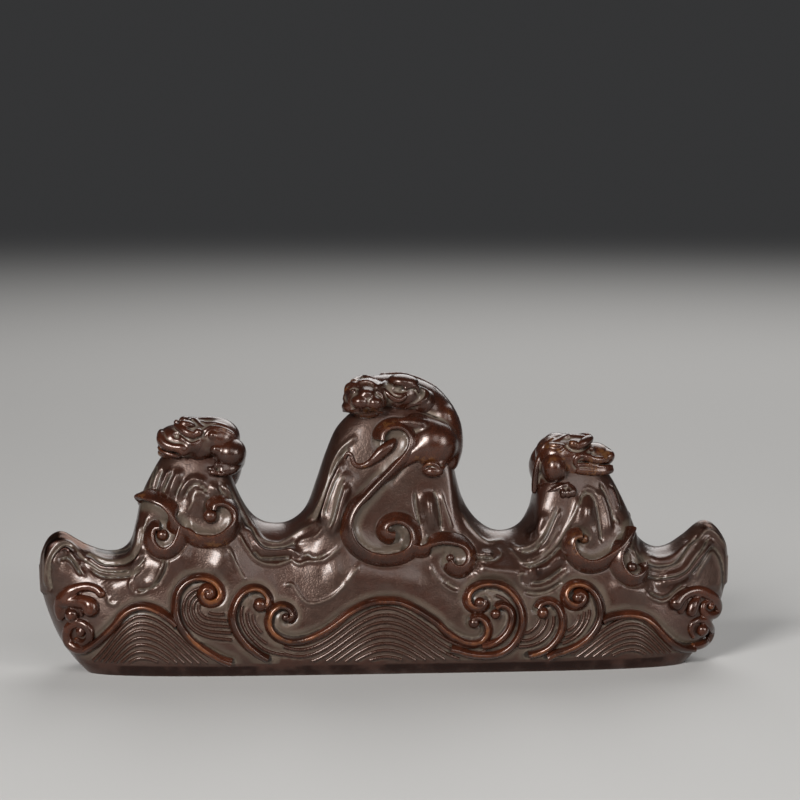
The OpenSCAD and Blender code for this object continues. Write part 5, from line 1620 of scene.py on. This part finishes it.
# Mouth: a narrow slot between a fat upper lip and a broad jaw, with a ring at its corner
clay.groove([(46.6, 49.6, 0.3), (48.4, 49.5, 0.35), (50.4, 49.1, 0.35), (52.6, 48.9, 0.35),
             (54.8, 49, 0.3)])
clay.rope([(47.4, 51.1, -6.2, 0.65), (48.5, 50.8, -6.3, 0.95), (49.7, 50.3, -6.1, 1.05),
           (51, 50.1, -5.7, 1.05), (52.2, 50.3, -5.1, 1.0), (53.2, 50.9, -4.3, 1.0)], 0.2)
clay.egg(53.5, 51.1, -3.4, (1.5, 1.7, 1.5), 0.4)
clay.rope([(47.7, 51.2, -6.4, 0.4), (46.6, 51.1, -6.7, 0.55), (45.7, 50.4, -6.8, 0.55),
           (45.5, 49.4, -6.7, 0.5), (46, 48.6, -6.5, 0.5)], 0.2)
clay.rope([(46.2, 48.9, -6.4, 0.5), (48.2, 48.95, -6.2, 0.55), (50.6, 48.55, -5.9, 0.5),
           (52.6, 48.4, -5.2, 0.5), (54.2, 48.6, -4.0, 0.45)], 0.15)
clay.rope([(46.4, 47.6, -6.0, 0.95), (49.6, 47.4, -5.6, 1.15), (52.4, 47.4, -4.9, 1.05),
           (53.9, 47.7, -3.8, 0.9)], 0.3)
# Eye bead in its socket; the brow is a ball and a lobe that slants up to the outline
clay.egg(49.4, 52.8, -5.9, (0.95, 0.95, 0.95), 0.25, cut=True)
clay.egg(49.4, 52.8, -5.5, (0.7, 0.7, 0.7), 0.1)
clay.groove([(43.4, 53.4, 0.35), (44.6, 52.5, 0.4), (46.2, 52.3, 0.4), (47.8, 52.9, 0.4),
             (49, 54, 0.35)])
clay.egg(45.0, 54.0, -5.7, (1.2, 1.1, 1.1), 0.15)
clay.rope([(46.4, 53.4, -5.8, 0.8), (47.4, 54.1, -5.2, 1.15), (48.5, 54.9, -4.0, 1.15),
           (49.0, 55.3, -3, 0.9)], 0.2)
for strand in ([(43.8, 56, 0.5), (42.4, 55.4, 0.55), (41, 54.8, 0.45), (40, 54.2, 0.35)],
               [(40, 55.3, 0.4), (38.4, 54.1, 0.5), (37.2, 52.4, 0.5), (36.2, 50.2, 0.4)]):
    clay.roll(strand, 0.22, 0.1)
clay.roll([(39.4, 53.7, 0.6), (40.8, 53.5, 0.8), (42.3, 53.4, 0.6)], 0.2, 0.1)
clay.roll([(40.8, 51.9, 0.4), (41.7, 52.3, 0.5), (42.6, 52.9, 0.45)], 0.15)
moulded("right_head", clay, dragon_bronze, "dragon_bronze", "right_dragon_head")

# %% Body of the right dragon
clay = Clay((30, -11, 28), (66, 17, 58), BODY_GRAIN)
spine = [(41, 0, 51.6, 4.0), (38.8, 2.6, 47.4, 4.2), behind(41.4, 42.6, 4), behind(48, 38.2, 4),
         behind(54, 35.2, 3.1), (57.6, 3.4, 34.6, 1.9), (58.2, 1.0, 34.0, 1.0)]
clay.rope_at(curve(spine, 5), 0.8)
clay.egg(39.4, 45.6, -1.4, (3.6, 4.6, 4.2), 1.0)
clay.egg(40.2, 48.3, -5.1, (3.0, 3.9, 3.9), 0.3)
clay.egg(42.4, 47.6, -5.6, (0.9, 2.6, 2.3), 0.2)
clay.rope([(38.4, 53.6, -3.0, 0.8), (36.8, 50, -3.4, 0.9), (35.9, 46.4, -3.6, 0.9),
           (35.6, 42.6, -3.8, 0.7)], 0.3)
clay.egg_at((49.6, 12.4, 38.4), (4.4, 3.4, 4.2), 0.8)
clay.rope_at(curve([(50.4, 13.4, 35.4, 1.7), (47.6, 13.8, 33.6, 1.5), (44.8, 13.4, 33.4, 1.3)], 3), 0.5)
for k in range(3):
    clay.egg_at((44, 13, 32.5 + 0.9 * k), (1.2, 0.9, 0.6), 0.15)
clay.rope_at(curve([(42, 3.8, 54.6, 0.5), (38.4, 7.4, 49.6, 0.6), (39.4, 11.6, 44.4, 0.6),
                    (45, 14, 40.6, 0.6), (51, 13.4, 38.2, 0.5), (55, 9, 37, 0.4)], 5), 0.3)
moulded("right_body", clay, dragon_bronze, "dragon_bronze", "right_dragon_body")

# %% Paw of the right dragon
clay = Clay((34, -13, 37), (49, 1, 48), GRAIN)
clay.rope([(37.6, 43.8, -3.0, 1.7), (39.6, 43.6, -4.8, 1.8), (42.2, 43.3, -6.0, 1.8),
           (44, 42.9, -6.5, 1.7)], 0.5)
clay.rope([(38.4, 42.1, -6.2, 0.5), (40.4, 42.9, -7.0, 0.6), (42.6, 43.9, -7.6, 0.55),
           (43.8, 44.6, -7, 0.4)], 0.3)
for u, v in ((42.4, 42.1), (43.7, 42.1), (45.0, 42.4)):
    clay.egg(u, v, -7.5, (0.9, 1.5, 1.4), 0.3)
moulded("right_paw", clay, dragon_bronze, "dragon_bronze", "right_dragon_paw")

# %% [markdown]
# ## The centre dragon
# The largest dragon hangs over the tallest peak. It faces the viewer with two round muzzle pads
# under a short nose, a large leaf ear on the near side and tight curls behind it. A round haunch
# hangs down the face over one hind foot, and a foreleg ends in a small curl.

# %% Head of the centre dragon
clay = Clay((-14, -12, 57), (13, 8, 73), GRAIN)
clay.egg(-4.6, 65.6, -2.6, (5.4, 5.0, 4.2))
clay.egg(-5.0, 64.2, -4.9, (4.5, 3.0, 2.8), 0.8)
clay.egg(-8.2, 63.0, -4.2, (2.6, 2.4, 1.6), 0.6)
clay.egg(-4.6, 61.6, -2.8, (3.6, 3.0, 1.6), 0.4)
clay.egg(3.6, 66.0, -1.0, (5.0, 4.6, 4.0), 1.2)
clay.egg(8.4, 64.0, 0.4, (4.0, 4.6, 3.6), 1.2)
clay.egg(-3.4, 66.4, 2.0, (5.0, 4.2, 4.0), 1.0)
# Muzzle: two round pads that grow out of the nose, with a thin lip under them
clay.egg(-6.3, 64.1, -7.5, (2.2, 2.0, 1.75), 0.3)
clay.egg(-2.9, 63.9, -7.4, (1.95, 2.0, 1.7), 0.3)
clay.egg(-4.8, 66.1, -7.0, (1.9, 1.9, 1.35), 0.9)
clay.rope([(-10.4, 61.9, -4.2, 0.3), (-9.2, 61.9, -5.6, 0.35), (-7.6, 62.0, -7.4, 0.35),
           (-6, 62.6, -8.1, 0.35), (-4.6, 63.3, -8.4, 0.35), (-3.4, 62.6, -8.1, 0.35),
           (-2.2, 61.8, -7.2, 0.35), (-0.9, 61.5, -6.0, 0.3)], 0.15)
clay.roll([(-9.8, 66.6, 0.5), (-9.4, 67.9, 0.6), (-8, 68.4, 0.65), (-6.7, 67.9, 0.55)], 0.2)
clay.groove([(-9, 67.2, 0.3), (-8, 67.4, 0.45), (-7, 67, 0.35)])
clay.bead(-8.0, 66.7, 0.65, 0.15)
clay.roll([(-8.2, 69.1, 0.5), (-6.6, 69.8, 0.6), (-4.8, 70.0, 0.65), (-3, 69.6, 0.5)], 0.2)
clay.roll([(-6.6, 68.7, 0.5), (-5, 69, 0.6), (-3.6, 68.7, 0.55), (-2.4, 68, 0.45)], 0.2)
clay.roll([(-2.6, 67.6, 0.6), (-1.2, 68.4, 0.5), (-0.2, 69, 0.4)], 0.2)
clay.roll([(-2.4, 66.6, 0.4), (-1.4, 65.8, 0.5), (-0.9, 64.6, 0.5), (-0.8, 63.2, 0.4)], 0.2)
for strand in ([(-9.9, 66.4, 0.3), (-10.2, 64.8, 0.4), (-9.7, 63.4, 0.3)],
               [(-8.9, 66.2, 0.3), (-9.2, 65, 0.35), (-8.9, 63.8, 0.3)]):
    clay.roll(strand, 0.15)
# Near ear: a dome over a hollow, gold along its lower rim
clay.egg(4.0, 69.0, -2.8, (3.8, 3.2, 1.8), 0.4, tilt=6)
clay.egg(3.1, 66.9, -6.0, (2.3, 1.6, 1.0), 0.4, cut=True)
clay.rope([(4.6, 67.4, -5.4, 0.5), (6, 68, -5.0, 0.6), (7.2, 67.7, -4.5, 0.55),
           (7.8, 66.7, -4.2, 0.45)], 0.2)
clay.rope([(-0.5, 67, -5.0, 0.5), (0.7, 65.7, -5.6, 0.65), (2, 64.7, -5.8, 0.7),
           (3.4, 64.6, -5.7, 0.65), (4.5, 65.4, -5.5, 0.5)], 0.25)
# Curls behind the ear and down the neck
clay.roll([(8.4, 67.3, 0.5), (9.7, 66.4, 0.65), (9.5, 65, 0.6), (8.4, 64, 0.5), (6.8, 63.5, 0.5),
           (5.2, 63, 0.5), (4.4, 62.2, 0.45), (4.1, 61.2, 0.4)], 0.2, 0)
clay.roll([(3.2, 63.4, 0.35), (2.4, 62.6, 0.4), (2.4, 61.4, 0.35)], 0.15)
clay.roll([(9.8, 68, 0.5), (11.6, 66.8, 0.6), (12.2, 65, 0.5), (11.4, 63.4, 0.4)], 0.2)
moulded("centre_head", clay, dragon_bronze, "dragon_bronze", "centre_dragon_head")

# %% Body of the centre dragon
clay = Clay((-8, -14, 42), (23, 12, 73), BODY_GRAIN)
spine = [(-2, 1.6, 65.4, 4.2), (4, 2.6, 64.6, 4.8), (9.4, 2.2, 62.0, 5.2), (13, 0.6, 57.6, 4.8),
         (14.4, -1.6, 53, 3.8), (14.2, -4, 49.6, 2.8)]
clay.rope_at(curve(spine, 5), 0.8)
clay.egg(10.9, 53.7, -4.4, (6.2, 5.6, 6.3), 0.7, tilt=15)
clay.egg(8.6, 58.2, -3.4, (5.2, 4.0, 3.0), 0.8, tilt=20)
clay.rope([(8.2, 52.8, -7.0, 2.6), (5.2, 50.6, -7.4, 1.8), (2.6, 48.2, -7.8, 1.0)], 0.6)
clay.rope([(8.6, 58.6, -6.2, 1.6), (4.6, 59, -5.6, 1.5), (1, 58.2, -5.4, 1.2),
           (-1.2, 56.6, -5.6, 0.8)], 0.6)
clay.rope([(14, 60.6, -1.6, 2.4), (14.6, 56, -2.4, 2.8), (14.2, 51.6, -3.8, 2.6)], 1.2)
clay.rope_at(curve([(-1, 3, 69.6, 0.5), (5, 5, 69.2, 0.6), (12, 5, 66, 0.6), (15.6, 4, 61, 0.6),
                    (16.8, 2.8, 55, 0.4)], 5), 0.3)
moulded("centre_body", clay, dragon_bronze, "dragon_bronze", "centre_dragon_body")

# %% Legs of the centre dragon
clay = Clay((-13, -14, 42), (19, 0, 58), GRAIN)
# Hind foot under the haunch
clay.rope([(12.6, 50.2, -6.4, 2.4), (11.6, 48.4, -7.6, 2.2)], 0.5)
clay.egg(11.2, 47.5, -8.2, (2.7, 2.2, 1.5), 0.4)
clay.rope([(8.7, 48.1, -9.0, 0.4), (9.9, 49, -9.7, 0.5), (11.1, 49.2, -9.9, 0.55),
           (12.3, 48.7, -9.7, 0.5), (13.1, 47.9, -9.5, 0.4), (13.9, 48.4, -8.9, 0.35)], 0.2)
# Foreleg: a full upper arm, then a thin wrist that curls up at its end
clay.rope([(1.7, 54.6, -6.8, 0.9), (0.6, 53.4, -7.4, 1.4), (-1.2, 52, -7.8, 1.45),
           (-2.8, 50.5, -8, 1.2), (-4.4, 49.2, -8, 0.85), (-6.2, 48.6, -8, 0.7),
           (-7.6, 49, -7.8, 0.65), (-8.3, 50.2, -7.6, 0.55), (-8.7, 51.6, -7.3, 0.5),
           (-9.6, 51.6, -7.1, 0.45), (-10, 50.6, -7.1, 0.4)], 0.3)
moulded("centre_legs", clay, dragon_bronze, "dragon_bronze", "centre_dragon_legs")

# %% [markdown]
# ## Floor and light
# A pale floor that fades into the grey of the studio, so that no edge shows behind the rest. The
# key lamp stands low in front on the left, where the photograph has it. A weak one stands in
# front, one on the right and one behind. Soft plain light lets the bronze show its own colour.

# %% Floor and lamps
FLOOR_REACH = 2.4            # metres
FLOOR_FADE = (0.6, 1.9)
FLOOR_SIDES = 48
FLOOR_COLOUR, FLOOR_ROUGH = (0.5, 0.49, 0.475, 1), 0.7
STUDIO_GREY, STUDIO_LEVEL = (0.5, 0.505, 0.52, 1), 0.07
AIM = Vector((0, 0, 0.03))   # the lamps point here, at the middle of the rest


def floor_finish():
    """Pale and matt, and gone at its rim."""
    material = bpy.data.materials.new("floor")
    material.use_nodes = True
    tree = material.node_tree
    shader = tree.nodes["Principled BSDF"]
    shader.inputs["Base Color"].default_value = FLOOR_COLOUR
    shader.inputs["Roughness"].default_value = FLOOR_ROUGH
    place = node(tree, "ShaderNodeTexCoord").outputs["Object"]
    away = node(tree, "ShaderNodeVectorMath", {0: place}, operation="LENGTH").outputs["Value"]
    solid = math_node(tree, "SUBTRACT", 1.0, ramp(tree, away, *FLOOR_FADE))
    tree.links.new(solid, shader.inputs["Alpha"])
    return material


def lamp(name, place, size, watts):
    """A square lamp of this size, in metres, that points at the rest."""
    data = bpy.data.lights.new(name, "AREA")
    data.size = size
    data.energy = watts
    light = bpy.data.objects.new(name, data)
    bpy.context.scene.collection.objects.link(light)
    light.rotation_euler = (AIM - Vector(place)).to_track_quat("-Z", "Y").to_euler()
    light.location = place


turns = [k * math.tau / FLOOR_SIDES for k in range(FLOOR_SIDES)]
rim = [(FLOOR_REACH * math.cos(turn), FLOOR_REACH * math.sin(turn), 0) for turn in turns]
floor_mesh = bpy.data.meshes.new("floor")
floor_mesh.from_pydata(rim, [], [tuple(range(FLOOR_SIDES))])
floor_mesh.materials.append(floor_finish())
floor = bpy.data.objects.new("floor", floor_mesh)
bpy.context.scene.collection.objects.link(floor)
lamp("key", (-0.57, -0.89, 0.57), 0.36, 15)
lamp("front", (0.3, -1.0, 0.66), 0.45, 2.0)
lamp("side", (0.84, -0.78, 0.4), 0.4, 5.0)
lamp("back", (0.3, 1.0, 0.9), 1.0, 8.0)
world = bpy.data.worlds.new("studio")
world.use_nodes = True
world.node_tree.nodes["Background"].inputs["Color"].default_value = STUDIO_GREY
world.node_tree.nodes["Background"].inputs["Strength"].default_value = STUDIO_LEVEL
bpy.context.scene.world = world
bpy.context.scene.view_settings.view_transform = "Standard"
